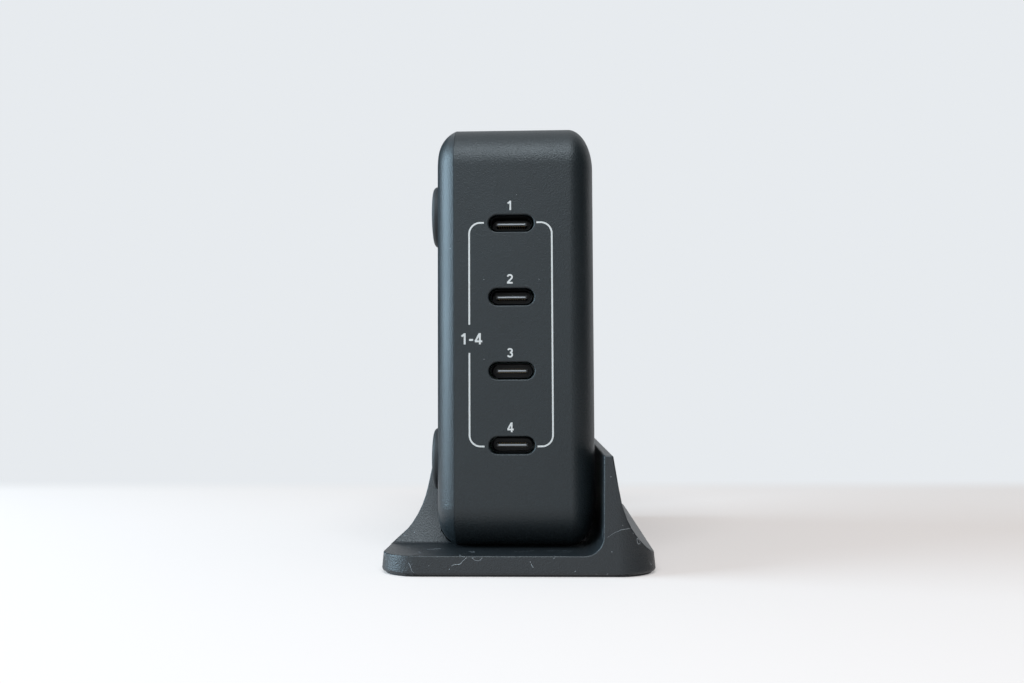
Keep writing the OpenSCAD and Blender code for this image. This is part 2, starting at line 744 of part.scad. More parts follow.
module controller_chips() {
  color([0.1, 0.1, 0.11]) upright() for (p = control_place) on_board(p)
    translate([-control_side / 2, -control_side / 2, 0]) cube([control_side, control_side, control_t]);
}

cradle();
cradle_mat();
main_shell();
side_cover();
for (i = [1 : 4]) foot(i);
cover_screws();
insulating_sheet();
heat_spreader();
thermal_pad();
main_board();
port_board();
for (i = [1 : port_count]) port_shell(i);
for (i = [1 : port_count]) port_tongue(i);
mains_inlet();
inlet_pins();
inlet_leads();
fuse();
film_capacitor();
choke_core();
choke_windings();
heat_sink();
power_transistors();
bridge_rectifier();
for (i = [1 : 2]) bulk_capacitor(i);
boost_core();
boost_winding();
transformer_core();
transformer_winding();
for (i = [1 : 4]) output_inductor(i);
for (i = [1 : 4]) output_capacitor(i);
controller_chips();
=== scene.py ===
# %% [markdown]
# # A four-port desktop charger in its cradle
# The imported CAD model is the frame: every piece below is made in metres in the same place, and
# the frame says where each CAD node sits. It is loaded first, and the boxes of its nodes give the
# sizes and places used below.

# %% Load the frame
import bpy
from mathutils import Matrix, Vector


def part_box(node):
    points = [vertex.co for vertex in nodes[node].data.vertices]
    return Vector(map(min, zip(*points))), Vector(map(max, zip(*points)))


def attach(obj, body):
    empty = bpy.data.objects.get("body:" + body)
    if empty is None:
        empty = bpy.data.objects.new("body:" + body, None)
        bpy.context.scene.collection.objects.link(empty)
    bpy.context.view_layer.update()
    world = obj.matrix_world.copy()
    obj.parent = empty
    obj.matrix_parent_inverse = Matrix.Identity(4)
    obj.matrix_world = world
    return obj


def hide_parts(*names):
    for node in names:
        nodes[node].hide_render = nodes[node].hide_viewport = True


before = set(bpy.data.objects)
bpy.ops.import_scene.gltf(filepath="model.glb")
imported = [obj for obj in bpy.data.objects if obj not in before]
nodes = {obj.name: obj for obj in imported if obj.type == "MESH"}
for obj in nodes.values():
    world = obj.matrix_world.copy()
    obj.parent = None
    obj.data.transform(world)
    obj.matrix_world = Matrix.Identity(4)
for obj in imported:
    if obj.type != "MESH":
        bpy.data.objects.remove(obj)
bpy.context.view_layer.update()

# %% Tools and units
import bmesh
import bpy
import numpy as np
from mathutils import Matrix

MM = 0.001


def node_box(name):
    """Lowest and highest corner of a CAD node in millimetres."""
    return [np.round(np.array(corner) / MM, 3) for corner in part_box(name)]


shell_low, shell_high = node_box("main_shell")
cover_low = node_box("side_cover")[0]
charger_w = shell_high[0] - cover_low[0]
charger_d = shell_high[1] - shell_low[1]
charger_h = shell_high[2] - shell_low[2]
middle_z = (shell_high[2] + shell_low[2]) / 2
print("charger", charger_w, charger_d, charger_h, "middle height", middle_z)

# %% [markdown]
# ## The camera
# The photograph was taken with a normal lens about 22 cm in front of the port face, a little
# below the middle of the charger and a little to its right. Fitting the pinhole formula
# px = 512 + f (r.v) / (d.v) to edges that can be measured both in the picture and on the object
# gives the place, the turn and the focal length f = 1031.8 pixels, which is 36.3 mm on a sensor
# 36 mm wide.

# %% Camera
CAMERA_PLACE = (7.498, -267.23, 37.19)
YAW, PITCH, ROLL = -0.0389, 0.0529, -0.0044
FOCAL_LENGTH, SENSOR_WIDTH = 36.27, 36.0
CLIP_NEAR, CLIP_FAR = 0.005, 20.0


def camera_turn(yaw, pitch, roll):
    """Columns right, up and back: d = (sin y cos p, cos y cos p, sin p), r turned by the roll round d."""
    look = np.array([np.sin(yaw) * np.cos(pitch), np.cos(yaw) * np.cos(pitch), np.sin(pitch)])
    level = np.array([np.cos(yaw), -np.sin(yaw), 0.0])
    upward = np.cross(level, look)
    right = level * np.cos(roll) + upward * np.sin(roll)
    return np.stack([right, upward * np.cos(roll) - level * np.sin(roll), -look], axis=1)


camera_data = bpy.data.cameras.new("camera")
camera_data.lens, camera_data.sensor_width = FOCAL_LENGTH, SENSOR_WIDTH
camera_data.clip_start, camera_data.clip_end = CLIP_NEAR, CLIP_FAR
camera = bpy.data.objects.new("camera", camera_data)
bpy.context.scene.collection.objects.link(camera)
camera.matrix_world = Matrix.Translation(np.array(CAMERA_PLACE) * MM) @ Matrix(
    camera_turn(YAW, PITCH, ROLL).tolist()).to_4x4()
bpy.context.scene.camera = camera
print("camera", tuple(round(v, 4) for v in camera.location), "lens", camera_data.lens)

# %% [markdown]
# ## Helpers for surfaces
# Nearly every part of a charger is an outline carried round a loop: a round corner, a screw
# boss and a connector opening differ only in the loop. So one function carries a profile round
# a loop, one joins the grid with quads, and one puts the arrays into a mesh.


# %% Grids and meshes
def grid_quads(rows, columns, wrap_rows=False, wrap_columns=False):
    """Quads (k, k + 1, k + 1 + columns, k + columns) of a grid whose point k is row * columns + column."""
    row, column = np.meshgrid(np.arange(rows - (not wrap_rows)),
                              np.arange(columns - (not wrap_columns)), indexing="ij")
    below, beside = (row + 1) % rows, (column + 1) % columns
    return np.stack([row * columns + column, row * columns + beside,
                     below * columns + beside, below * columns + column], -1).reshape(-1, 4)


def make_piece(name, points, faces):
    """Object of points in millimetres and faces, its doubles merged and its faces turned outwards."""
    mesh = bpy.data.meshes.new(name)
    mesh.from_pydata((np.reshape(points, (-1, 3)) * MM).tolist(), [], [list(f) for f in faces])
    work = bmesh.new()
    work.from_mesh(mesh)
    bmesh.ops.remove_doubles(work, verts=work.verts, dist=1e-7)
    bmesh.ops.dissolve_degenerate(work, edges=work.edges, dist=1e-7)
    bmesh.ops.recalc_face_normals(work, faces=work.faces)
    work.to_mesh(mesh)
    work.free()
    piece = bpy.data.objects.new(name, mesh)
    bpy.context.scene.collection.objects.link(piece)
    return piece


print("a grid of 3 by 4 points has", len(grid_quads(3, 4)), "quads")


# %% Loops
def round_loop(steps=48):
    """Middles 0 and directions (cos a, sin a): a full turn round one axis."""
    angle = np.linspace(0, 2 * np.pi, steps, endpoint=False)
    return np.zeros((steps, 2)), np.stack([np.cos(angle), np.sin(angle)], -1)


def square_loop(half_x, half_y, radius, turn=14, run=6):
    """Middles m and directions d of a rectangle with round corners, so that m + u d is the
    outline at the distance u from the corners' middles. Each corner turns 90 degrees in turn
    steps, and m then moves along the side in run steps with d held."""
    corners = np.array([[1, 1], [-1, 1], [-1, -1], [1, -1]]) * [half_x - radius, half_y - radius]
    share = np.concatenate([np.zeros(turn + 1), np.arange(1, run) / run])[:, None]
    angle = np.radians(np.minimum(np.arange(turn + run) * 90 / turn, 90))
    quarter = np.array([0, 90, 180, 270])[:, None]
    middles = corners[:, None] + share * (np.roll(corners, -1, axis=0) - corners)[:, None]
    turned = np.radians(quarter) + angle
    return middles.reshape(-1, 2), np.stack([np.cos(turned), np.sin(turned)], -1).reshape(-1, 2)


print("a rounded rectangle has", len(square_loop(20, 10, 5)[0]), "points")


# %% Profiles carried round a loop
def rounded(corners, radii, steps=4):
    """Polyline through the corners, where each becomes an arc of its radius r that begins and
    ends r / tan(h) before and after it, with h half the angle between the two sides."""
    corners = np.array(corners, float)
    out = []
    for k, radius in enumerate(radii):
        if radius == 0:
            out.append(corners[k][None])
            continue
        before, after = corners[k - 1] - corners[k], corners[(k + 1) % len(corners)] - corners[k]
        before, after = before / np.linalg.norm(before), after / np.linalg.norm(after)
        half = np.arccos(np.clip(before @ after, -1, 1)) / 2
        middle = corners[k] + (before + after) / np.linalg.norm(before + after) * radius / np.sin(half)
        first = corners[k] + before * radius / np.tan(half) - middle
        last = corners[k] + after * radius / np.tan(half) - middle
        turn, share = np.pi - 2 * half, np.linspace(0, 1, steps + 1)[:, None]
        out.append(middle + (np.sin((1 - share) * turn) * first + np.sin(share * turn) * last) / np.sin(turn))
    return np.concatenate(out)


def sweep(loop, profile, closed=False):
    """Points m(s) + u(t) d(s) at the height z(t): the profile (u, z) carried round the loop. An
    open profile is capped at both ends, a closed one makes a ring."""
    middles, directions = loop
    profile = np.array(profile, float)
    flat = middles + profile[:, :1, None] * directions
    height = np.broadcast_to(profile[:, 1, None, None], flat.shape[:2] + (1,))
    points = np.concatenate([flat, height], -1)
    rows, columns = flat.shape[:2]
    faces = grid_quads(rows, columns, closed, True).tolist()
    if not closed:
        faces += [list(range(columns)), list(range((rows - 1) * columns, rows * columns))]
    return points.reshape(-1, 3), faces


def stacked(parts):
    """One list of points and one of faces from several (points, faces)."""
    points, faces, count = [], [], 0
    for part_points, part_faces in parts:
        points.append(part_points)
        faces += [[v + count for v in face] for face in part_faces]
        count += len(part_points)
    return np.concatenate(points), faces


sample = sweep(round_loop(8), [(1, 0), (1, 2)])
print("a short column has", len(sample[0]), "points and", len(sample[1]), "faces")

# %% [markdown]
# ## Frames of reference
# The charger is easiest to draw lying on its cover, with z up from the cover's outer face, as
# it is moulded and assembled. Standing it on edge is one turn: z becomes X, and x runs down.
# Openings in the front and back faces are drawn flat, with their depth as the third number.


# %% Stand the charger up and place openings
def stand_up(points):
    """(x, y, z) of the lying charger to (cover face + z, y, middle height - x)."""
    x, y, z = np.moveaxis(np.asarray(points), -1, 0)
    return np.stack([cover_low[0] + z, y, middle_z - x], -1)


def at_front(points, x, z):
    """(across, up, depth) to (x + across, front + depth, z + up)."""
    across, up, depth = np.moveaxis(np.asarray(points), -1, 0)
    return np.stack([x + across, shell_low[1] + depth, z + up], -1)


def at_back(points, x, z):
    """(up, across, depth) to (x + across, back - depth, z + up)."""
    up, across, depth = np.moveaxis(np.asarray(points), -1, 0)
    return np.stack([x + across, shell_high[1] - depth, z + up], -1)


print("cover's face at x =", stand_up([0, 0, 0])[0])
print("port face at y =", at_front([0, 0, 0], 0, 0)[1], "back at y =", at_back([0, 0, 0], 0, 0)[1])

# %% [markdown]
# ## The shell
# The real shell is one moulding: a flat tub whose closed side has a wide, soft, elliptical edge
# and whose rim meets the cover at the seam. It could be a subdivided box, but then the edge
# would be whatever the smoothing gives. Here the outline is written down and carried round the
# rounded rectangle, so the flat faces stay flat and the soft edge has its true reach.

# %% Shell
CORNER_R = 9.5
EDGE_DROP, EDGE_REACH = 5.5, 9.3
WALL, FACE_WALL = 2.2, 2.0
SEAM_H, SEAM_GAP, SEAM_SOFTNESS = 4.1, 0.03, 0.05
RIM_REACH = 4.0


def soft_edge(inset, top, steps=28):
    """Quarter ellipse u = r - i - (reach - i)(1 - cos a), z = top - drop (1 - sin a), a from 0 to 90."""
    a = np.radians(np.linspace(0, 90, steps + 1))
    return np.stack([CORNER_R - inset - (EDGE_REACH - inset) * (1 - np.cos(a)),
                     top - EDGE_DROP * (1 - np.sin(a))], -1)


def report(piece):
    """Prints a piece's name, its size in millimetres and its number of faces."""
    low, high = (np.array(piece.bound_box).reshape(8, 3) / MM).min(0), (np.array(piece.bound_box) / MM).max(0)
    print(f"{piece.name}: {np.round(low, 2)} to {np.round(high, 2)}, {len(piece.data.polygons)} faces")


rim = rounded([(CORNER_R - WALL, SEAM_H + RIM_REACH), (CORNER_R - WALL, SEAM_H + SEAM_GAP),
               (CORNER_R, SEAM_H + SEAM_GAP), (CORNER_R, SEAM_H + RIM_REACH)], [0, 0, SEAM_SOFTNESS, 0])
shell_profile = np.concatenate([soft_edge(WALL, charger_w - FACE_WALL)[::-1], rim[1:-1],
                                soft_edge(0, charger_w)])
body_loop = square_loop(charger_h / 2, charger_d / 2, CORNER_R, turn=18)
points, faces = sweep(body_loop, shell_profile)
shell = make_piece("charger_shell", stand_up(points), faces)
report(shell)

# %% [markdown]
# The connectors, the inlet and the feet are CAD nodes with places of their own, so the middles
# of their boxes say where the shell is pierced and where the screws run.

# %% Places of the ports, the inlet and the feet
PORT_COUNT, FOOT_COUNT = 4, 4
port_x = sum(c[0] for c in node_box("port_shell_1")) / 2
port_heights = [sum(c[2] for c in node_box(f"port_shell_{i}")) / 2 for i in range(1, PORT_COUNT + 1)]
inlet_x, inlet_z = (sum(c[k] for c in node_box("mains_inlet")) / 2 for k in (0, 2))
foot_boxes = [node_box(f"foot_{i}") for i in range(1, FOOT_COUNT + 1)]
foot_places = [(middle_z - (low[2] + high[2]) / 2, (low[1] + high[1]) / 2) for low, high in foot_boxes]
print("ports at x", port_x, "z", port_heights, "feet", foot_places)

# %% [markdown]
# Four screw bosses stand inside the shell. They could be written into its surface, but it is
# easier to add them as solids: the Boolean modifier joins two solids or takes one from the
# other, and its result is kept at once, so that the next step works on the real mesh.

# %% Screw bosses
BOSS_D, BOARD_TOP, SINK = 7.0, 6.6, 0.5


def keep_result(piece):
    """Makes what the modifiers show the piece's own mesh, and clears them."""
    shown = piece.evaluated_get(bpy.context.evaluated_depsgraph_get())
    mesh = bpy.data.meshes.new_from_object(shown)
    piece.modifiers.clear()
    before, piece.data = piece.data, mesh
    bpy.data.meshes.remove(before)
    mesh.name = piece.name


def carve(piece, tool, operation="DIFFERENCE"):
    """Takes the tool's solid from the piece, or adds it, and removes the tool."""
    step = piece.modifiers.new("carve", "BOOLEAN")
    step.object, step.operation, step.solver = tool, operation, "EXACT"
    keep_result(piece)
    bpy.data.objects.remove(tool)


def upright_column(place, profile, steps=40):
    """A profile (radius, z) turned round a vertical axis of the lying charger at a place (x, y)."""
    points, faces = sweep(round_loop(steps), profile)
    return stand_up(points + [place[0], place[1], 0]), faces


boss = [(BOSS_D / 2, BOARD_TOP), (BOSS_D / 2, charger_w - FACE_WALL + SINK)]
carve(shell, make_piece("boss_tool", *stacked([upright_column(p, boss) for p in foot_places])), "UNION")
report(shell)

# %% [markdown]
# The front wall has four slots and the back wall one opening for the inlet. Each rim is round,
# as a mould leaves it, so the tool that cuts it flares outwards. Afterwards weighted normals
# keep the large faces flat beside their round edges.

# %% Openings of the shell
SLOT_W, SLOT_H, SLOT_ROUND = 9.8, 3.7, 0.35
INLET_W, INLET_H, INLET_R, INLET_PLAY, INLET_ROUND = 20.6, 12.0, 0.5, 0.15, 0.25
SCREW_D, SCREW_PLAY, SCREW_FROM, SCREW_TO = 2.6, 0.1, 5, 16
TOOL_MARGIN, TOOL_OUT, CUT_THROUGH = 0.05, 0.6, 1


def shade(piece, angle=32):
    """Smooth shading that keeps edges sharper than the angle and lets large faces set the normals."""
    piece.data.shade_smooth()
    piece.data.set_sharp_from_angle(angle=np.radians(angle))
    even = piece.modifiers.new("even_shading", "WEIGHTED_NORMAL")
    even.keep_sharp = True
    keep_result(piece)


def flared(radius, depth, softness=SLOT_ROUND):
    """Profile of a cutting tool: a hole of that radius whose rim widens as a quarter circle."""
    a = np.radians(np.linspace(15, 90, 6))
    wide = radius + softness + TOOL_MARGIN
    widening = np.stack([radius + softness * (1 - np.sin(a)), softness * (1 - np.cos(a))], -1)
    return np.concatenate([[(wide, -TOOL_OUT), (wide, -TOOL_MARGIN)], widening, [(radius, depth)]])


screw_r = SCREW_D / 2 + SCREW_PLAY / 2
openings = [upright_column(p, [(screw_r, SCREW_FROM), (screw_r, SCREW_TO)]) for p in foot_places]
slot_loop = square_loop(SLOT_W / 2, SLOT_H / 2, SLOT_H / 2, 16, 4)
for z in port_heights:
    points, faces = sweep(slot_loop, flared(SLOT_H / 2, WALL + CUT_THROUGH))
    openings.append((at_front(points, port_x, z), faces))
points, faces = sweep(square_loop(INLET_W / 2 + INLET_PLAY, INLET_H / 2 + INLET_PLAY, INLET_R, 5, 4),
                      flared(INLET_R, WALL + CUT_THROUGH, INLET_ROUND))
openings.append((at_back(points, inlet_x, inlet_z), faces))
carve(shell, make_piece("opening_tool", *stacked(openings)))
shade(shell)
report(shell)

# %% [markdown]
# ## The cover
# The cover closes the open side. Its edge is a round arc that stops before it is upright, so a
# crease of about twenty degrees runs along the seam, which is where the light on the charger
# changes. A lip inside the seam finds the shell, and four recesses take the feet.

# %% Cover
COVER_R, COVER_WALL = 6.5, 2.0
LIP_PLAY, LIP_T, LIP_H = 0.1, 1.0, 2.0
edge_angle = np.arccos(1 - SEAM_H / COVER_R)
cover_flat = CORNER_R - COVER_R * np.sin(edge_angle)


def cover_edge(inset, last, steps):
    """Arc u = flat + (R - i) sin t, z = R - (R - i) cos t, t from 0 to last."""
    t = np.linspace(0, last, steps + 1)
    return np.stack([cover_flat + (COVER_R - inset) * np.sin(t), COVER_R - (COVER_R - inset) * np.cos(t)], -1)


lip_out, lip_in = CORNER_R - WALL - LIP_PLAY, CORNER_R - WALL - LIP_PLAY - LIP_T
inner_edge = cover_edge(COVER_WALL, np.arcsin((lip_in - cover_flat) / (COVER_R - COVER_WALL)), 8)
outer_edge = cover_edge(0, edge_angle, 24)[::-1]
rim = rounded([(lip_out, SEAM_H), outer_edge[0], outer_edge[1]], [0, SEAM_SOFTNESS, 0])
cover_profile = np.concatenate([inner_edge, [(lip_in, SEAM_H + LIP_H), (lip_out, SEAM_H + LIP_H)], rim[:-1],
                                outer_edge[1:]])
points, faces = sweep(body_loop, cover_profile)
cover = make_piece("charger_cover", stand_up(points), faces)
report(cover)

# %% [markdown]
# Posts inside the cover meet the shell's bosses and take the screws. Outside, each screw ends
# in a stepped recess: a wide one for the foot, then the screw's head, then its shank.

# %% Posts and recesses of the cover
FOOT_R, FOOT_PLAY, FOOT_RECESS = 6.9, 0.1, 0.8
RECESS_RIM, KNEE_OUT, KNEE_DEPTH, RIM_DEPTH = 0.25, 0.05, 0.03, 0.2
HEAD_D, HEAD_H, BOARD_Z = 5.0, 1.2, 5.0
post = [(BOSS_D / 2, COVER_WALL - SINK), (BOSS_D / 2, BOARD_Z)]
carve(cover, make_piece("post_tool", *stacked([upright_column(p, post) for p in foot_places])), "UNION")
foot_hole, head_hole, shank_hole = FOOT_R + FOOT_PLAY, HEAD_D / 2 + SCREW_PLAY, SCREW_D / 2 + SCREW_PLAY
recess = [(foot_hole + RECESS_RIM, -TOOL_OUT), (foot_hole + RECESS_RIM, -TOOL_MARGIN),
          (foot_hole + KNEE_OUT, KNEE_DEPTH), (foot_hole, RIM_DEPTH), (foot_hole, FOOT_RECESS),
          (head_hole, FOOT_RECESS), (head_hole, FOOT_RECESS + HEAD_H), (shank_hole, FOOT_RECESS + HEAD_H),
          (shank_hole, BOARD_Z + CUT_THROUGH)]
carve(cover, make_piece("recess_tool", *stacked([upright_column(p, recess, 72) for p in foot_places])))
shade(cover)
report(cover)

# %% [markdown]
# ## The rubber feet
# Four rubber discs cover the screws. They lie in the recesses and stand out of the cover, so
# the charger can also lie flat on them. Moulded rubber never has a knife edge: the rim is
# round and the face is slightly crowned.

# %% Feet
FOOT_OUT, FOOT_ROUND, FOOT_CROWN, BACK_ROUND = 1.5, 0.9, 0.12, 0.1


def foot_profile():
    """(radius, z) from the middle of the inner side round the rim to the crowned outer face."""
    edge = rounded([(0, FOOT_RECESS), (FOOT_R, FOOT_RECESS), (FOOT_R, FOOT_CROWN - FOOT_OUT), (0, -FOOT_OUT)],
                   [0, BACK_ROUND, FOOT_ROUND, 0], 7)
    share = np.linspace(0, 1, 7)[1:-1, None]
    face = edge[-2] + share * (edge[-1] - edge[-2])
    face[:, 1] = -FOOT_OUT + FOOT_CROWN * (face[:, 0] / FOOT_R) ** 2
    return np.concatenate([edge[:-1], face, edge[-1:]])


feet = []
for i, place in enumerate(foot_places, 1):
    foot = make_piece(f"rubber_foot_{i}", *upright_column(place, foot_profile(), 72))
    shade(foot)
    feet.append(foot)
report(feet[0])

# %% [markdown]
# ## The cradle
# The cradle is one moulding too: a floor with round corners, a full-length wall with a hollow
# flare outside, and on the other side a shorter wall that fits between the charger's feet. A
# section at any distance y can be written down, so the whole surface is a grid: one number
# runs round the section, the other along the cradle. Near the rounded corners the rows lean
# over, so that they follow the corner on the outside and stay apart further in, and the short
# wall is the same section cut off at a height that changes along y. Last, the sides get the
# draft that lets the part out of its mould: they lean in by a third of a millimetre.

# %% Sections of the cradle
cradle_low, cradle_high = node_box("cradle")
CRADLE_HALF, CRADLE_END = cradle_high[0], cradle_high[1]
CRADLE_BASE, WALL_H = cradle_low[2], cradle_high[2]
FLOOR_H, PLAN_R = shell_low[2], 8.4
SLOT_PLAY, SLOT_DRAFT, SLOT_FILLET = 0.6, 0.2, 4.0
FLARE_R, FLARE_FOOT, WALL_SLOPE = 19.0, np.radians(53.5), np.radians(9.4)
FLARE_LEDGE, LEDGE_FADE = 0.38, 0.7
LEAN, LEAN_FILLET, FOOT_WALL_GAP = np.radians(26.4), 1.2, 0.3
slot_half = charger_w / 2 + SLOT_PLAY
flare_foot = np.array([CRADLE_HALF - FLARE_LEDGE, FLOOR_H])
flare_mid = flare_foot + FLARE_R * np.array([np.cos(FLARE_FOOT), np.sin(FLARE_FOOT)])
flare_head = flare_mid - FLARE_R * np.array([np.cos(WALL_SLOPE), np.sin(WALL_SLOPE)])


def outside(z):
    """Half width of a wall at the height z: the flare's arc x = c - sqrt(R^2 - (z - h)^2) below,
    a straight line above, and a lip at the foot that runs out to the cradle's side."""
    arc = flare_mid[0] - np.sqrt(np.maximum(FLARE_R**2 - (z - flare_mid[1])**2, 0))
    line = flare_head[0] - (z - flare_head[1]) * np.tan(WALL_SLOPE)
    return np.where(z < flare_head[1], arc, line) + FLARE_LEDGE * np.exp((FLOOR_H - z) / LEDGE_FADE)


def height_of(x):
    """Height at which the outside of a wall has the half width x, read off the falling curve."""
    z = np.linspace(FLOOR_H, WALL_H, 4000)
    return np.interp(-x, -outside(z), z)


foot_x, foot_y = abs(foot_places[1][0]), abs(foot_places[0][1])
foot_rise = charger_h / 2 - foot_x
wall_foot = foot_y - (FOOT_R + FOOT_WALL_GAP - foot_rise * np.sin(LEAN)) / np.cos(LEAN)
print("short wall ends at", round(wall_foot, 3), "flare from", flare_foot.round(2), "to", flare_head.round(2))

# %% [markdown]
# The rows lie close together where the short wall leans, because its outline is read off them,
# and round the corner, and far apart where nothing changes.

# %% Rows along the cradle
top_end = wall_foot - (WALL_H - FLOOR_H) * np.tan(LEAN)
fillet_mid = wall_foot + LEAN_FILLET * (1 - np.sin(LEAN)) / np.cos(LEAN)
fillet_start = fillet_mid - LEAN_FILLET * np.cos(LEAN)
corner_start, corner_rows, LAST_ROW = CRADLE_END - PLAN_R, 12, 1.4


def short_wall_height(y):
    """Height of the short wall at the distance y from the middle: the flat top, the leaning
    end z = top - (y - y0) / tan(lean), the fillet at its foot and the floor."""
    leaning = WALL_H - (y - top_end) / np.tan(LEAN)
    fillet = FLOOR_H + LEAN_FILLET - np.sqrt(np.maximum(LEAN_FILLET**2 - (fillet_mid - y)**2, 0))
    return np.select([y < top_end, y < fillet_start, y < fillet_mid], [WALL_H, leaning, fillet], FLOOR_H)


fillet_angle = np.linspace(np.pi / 2 - LEAN, 0, 6)[1:]
straight = np.concatenate([np.linspace(0, top_end, 7), np.linspace(top_end, fillet_start, 11)[1:],
                           fillet_mid - LEAN_FILLET * np.sin(fillet_angle),
                           np.linspace(fillet_mid, corner_start, 4)[1:]])
share = np.arange(1, corner_rows + 1) / corner_rows
turn = np.concatenate([np.zeros_like(straight), share * np.pi / 2])
even = np.concatenate([straight, corner_start + (PLAN_R - LAST_ROW) * np.minimum(
    share * corner_rows / (corner_rows - 1), 1) + LAST_ROW * (share == 1)])
curved = np.concatenate([straight, corner_start + PLAN_R * np.sin(share * np.pi / 2)])
side_x = CRADLE_HALF - PLAN_R * (1 - np.cos(turn))
print("rows on one half:", len(even), "last at y =", even[-1])

# %% [markdown]
# The columns of the grid go round one side of the section. On the underside and over the wall
# they pass from the rows that keep to the round corner to the rows that stay apart.

# %% One side of the section
BASE_ROUND, RIM_ROUND, SIDE_START = 0.5, 0.3, 1.35


def cradle_side(limit, follow):
    """Points (row, column) of one side from the middle of the bottom, up its side, over the wall
    cut off at limit(row) and down to the middle of the slot. Where follow is true, the rows keep
    to the round corner up the whole flare, and otherwise only at the crease below it."""
    rows = len(even)
    crease = np.minimum(height_of(side_x), limit)
    columns = []

    def column(x, z, lean):
        """One column: its x and z at each row, and y between the curved and the even rows."""
        y = curved + (even - curved) * lean
        columns.append(np.stack([np.broadcast_to(x, rows), y, np.broadcast_to(z, rows)], -1))

    # the underside
    for t in (0, 0.5, 0.9, 1):
        column(t * side_x, CRADLE_BASE, 1 - t**4)
    # up the side of the floor
    low = CRADLE_BASE + BASE_ROUND * SIDE_START
    for t in (0, 0.33, 0.67, 1):
        column(side_x, low + (crease - low) * t, 0)
    # up the flare
    for t in np.append(np.linspace(0.12, 0.8, 12), 1):
        z = crease + (limit - crease) * t
        column(np.minimum(outside(z), side_x), z, 0 if follow else 1 - (1 - t)**2)
    edge = np.minimum(outside(limit), side_x)
    angle = np.arcsin(np.clip((FLOOR_H + SLOT_FILLET - limit) / SLOT_FILLET, 0, 1))
    bend = np.minimum(limit, FLOOR_H + SLOT_FILLET)

    def inside(z):
        """Half width of the slot above its fillet: a straight line with the draft."""
        return slot_half + SLOT_DRAFT * (z - FLOOR_H - SLOT_FILLET) / (WALL_H - FLOOR_H - SLOT_FILLET)

    inner = np.where(limit > FLOOR_H + SLOT_FILLET, inside(limit),
                     slot_half - SLOT_FILLET + SLOT_FILLET * np.cos(angle))
    # across the top, then down the slot
    for t in (0.25, 0.75, 1):
        column(edge + (inner - edge) * t, limit, t if follow else 1)
    for t in (0.33, 0.67):
        z = limit + (bend - limit) * t
        column(np.where(limit > bend, inside(z), inner), z, 1)
    # the slot's fillet and its floor
    for t in np.linspace(0, 1, 9):
        a = angle + (np.pi / 2 - angle) * t
        column(slot_half - SLOT_FILLET * (1 - np.cos(a)), FLOOR_H + SLOT_FILLET * (1 - np.sin(a)), 1)
    for t in (0.6, 0.2, 0):
        column((slot_half - SLOT_FILLET) * t, FLOOR_H, 1)
    return np.stack(columns, 1)


print("columns on one side:", cradle_side(np.full_like(even, WALL_H), follow=False).shape[1])

# %% Body of the cradle
SIDE_DRAFT = 0.35
right = cradle_side(np.full_like(even, WALL_H), follow=False)
left = cradle_side(short_wall_height(even), follow=True) * [-1, 1, 1]
half = np.concatenate([right, left[:, ::-1]], 1)
whole = np.concatenate([half[:0:-1] * [1, -1, 1], half])
rise = np.clip((whole[..., 2] - CRADLE_BASE) / (FLOOR_H - CRADLE_BASE), 0, 1)
for axis, reach, start in ((0, CRADLE_HALF, CRADLE_HALF - PLAN_R), (1, CRADLE_END, corner_start)):
    near_edge = np.clip((np.abs(whole[..., axis]) - start) / (reach - start), 0, 1)
    whole[..., axis] -= np.sign(whole[..., axis]) * SIDE_DRAFT * rise * near_edge
rows, columns = whole.shape[:2]
ends = [list(range(columns)), list(range((rows - 1) * columns, rows * columns))]
cradle = make_piece("cradle_body", whole, grid_quads(rows, columns, False, True).tolist() + ends)
report(cradle)

# %% [markdown]
# The mould leaves small radii on the cradle's edges, and along the front edge such a radius
# draws the thin light line that the eye reads as the rim. A Bevel modifier with one weight per
# edge makes them: a larger one round the base, a small one elsewhere. The weight fades where
# the short wall runs out into the floor, because the faces there are narrower than the radius.

# %% Edge radii of the cradle
BASE_BAND, OUTER_X, END_FADE, LEAST_SHARE = 0.1, -28, 1.5, 0.1
SHORT_WALL_X, FOOT_FADE, LEVEL = -13, 1.8, 0.02


def weigh_edges(piece, rule, limit=0.45):
    """Gives every convex edge that turns more than the limit the bevel weight rule(middle)."""
    work = bmesh.new()
    work.from_mesh(piece.data)
    weight = work.edges.layers.float.new("bevel_weight_edge")
    for edge in work.edges:
        if len(edge.link_faces) == 2 and edge.is_convex and edge.calc_face_angle() > limit:
            edge[weight] = rule(*((edge.verts[0].co + edge.verts[1].co) / 2 / MM))
    work.to_mesh(piece.data)
    work.free()


def cradle_radius(x, y, z):
    """Share of the base radius at a point of an edge: 1 round the base, and elsewhere the rim's
    share, fading along the floor's edge beside the short wall and at the foot of that wall."""
    rim_share = RIM_ROUND / BASE_ROUND
    if z < CRADLE_BASE + BASE_BAND:
        return 1.0
    if x < OUTER_X and z < FLOOR_H + LEVEL:
        return rim_share * min(max((abs(y) - wall_foot) / END_FADE, LEAST_SHARE), 1)
    if x < SHORT_WALL_X and FLOOR_H + LEVEL < z < FLOOR_H + FOOT_FADE:
        return rim_share * min((z - FLOOR_H) / FOOT_FADE, 1)
    return rim_share


weigh_edges(cradle, cradle_radius)
radii = cradle.modifiers.new("edge_radii", "BEVEL")
radii.limit_method, radii.width, radii.segments = "WEIGHT", BASE_ROUND * MM, 4
radii.use_clamp_overlap = False
keep_result(cradle)
report(cradle)

# %% [markdown]
# A thin rubber mat lies in a shallow recess under the cradle and stands out of it by half a
# millimetre, so a narrow dark line runs between the cradle and the table. The recess and the
# mat come from one loop, and a small play keeps their walls apart.

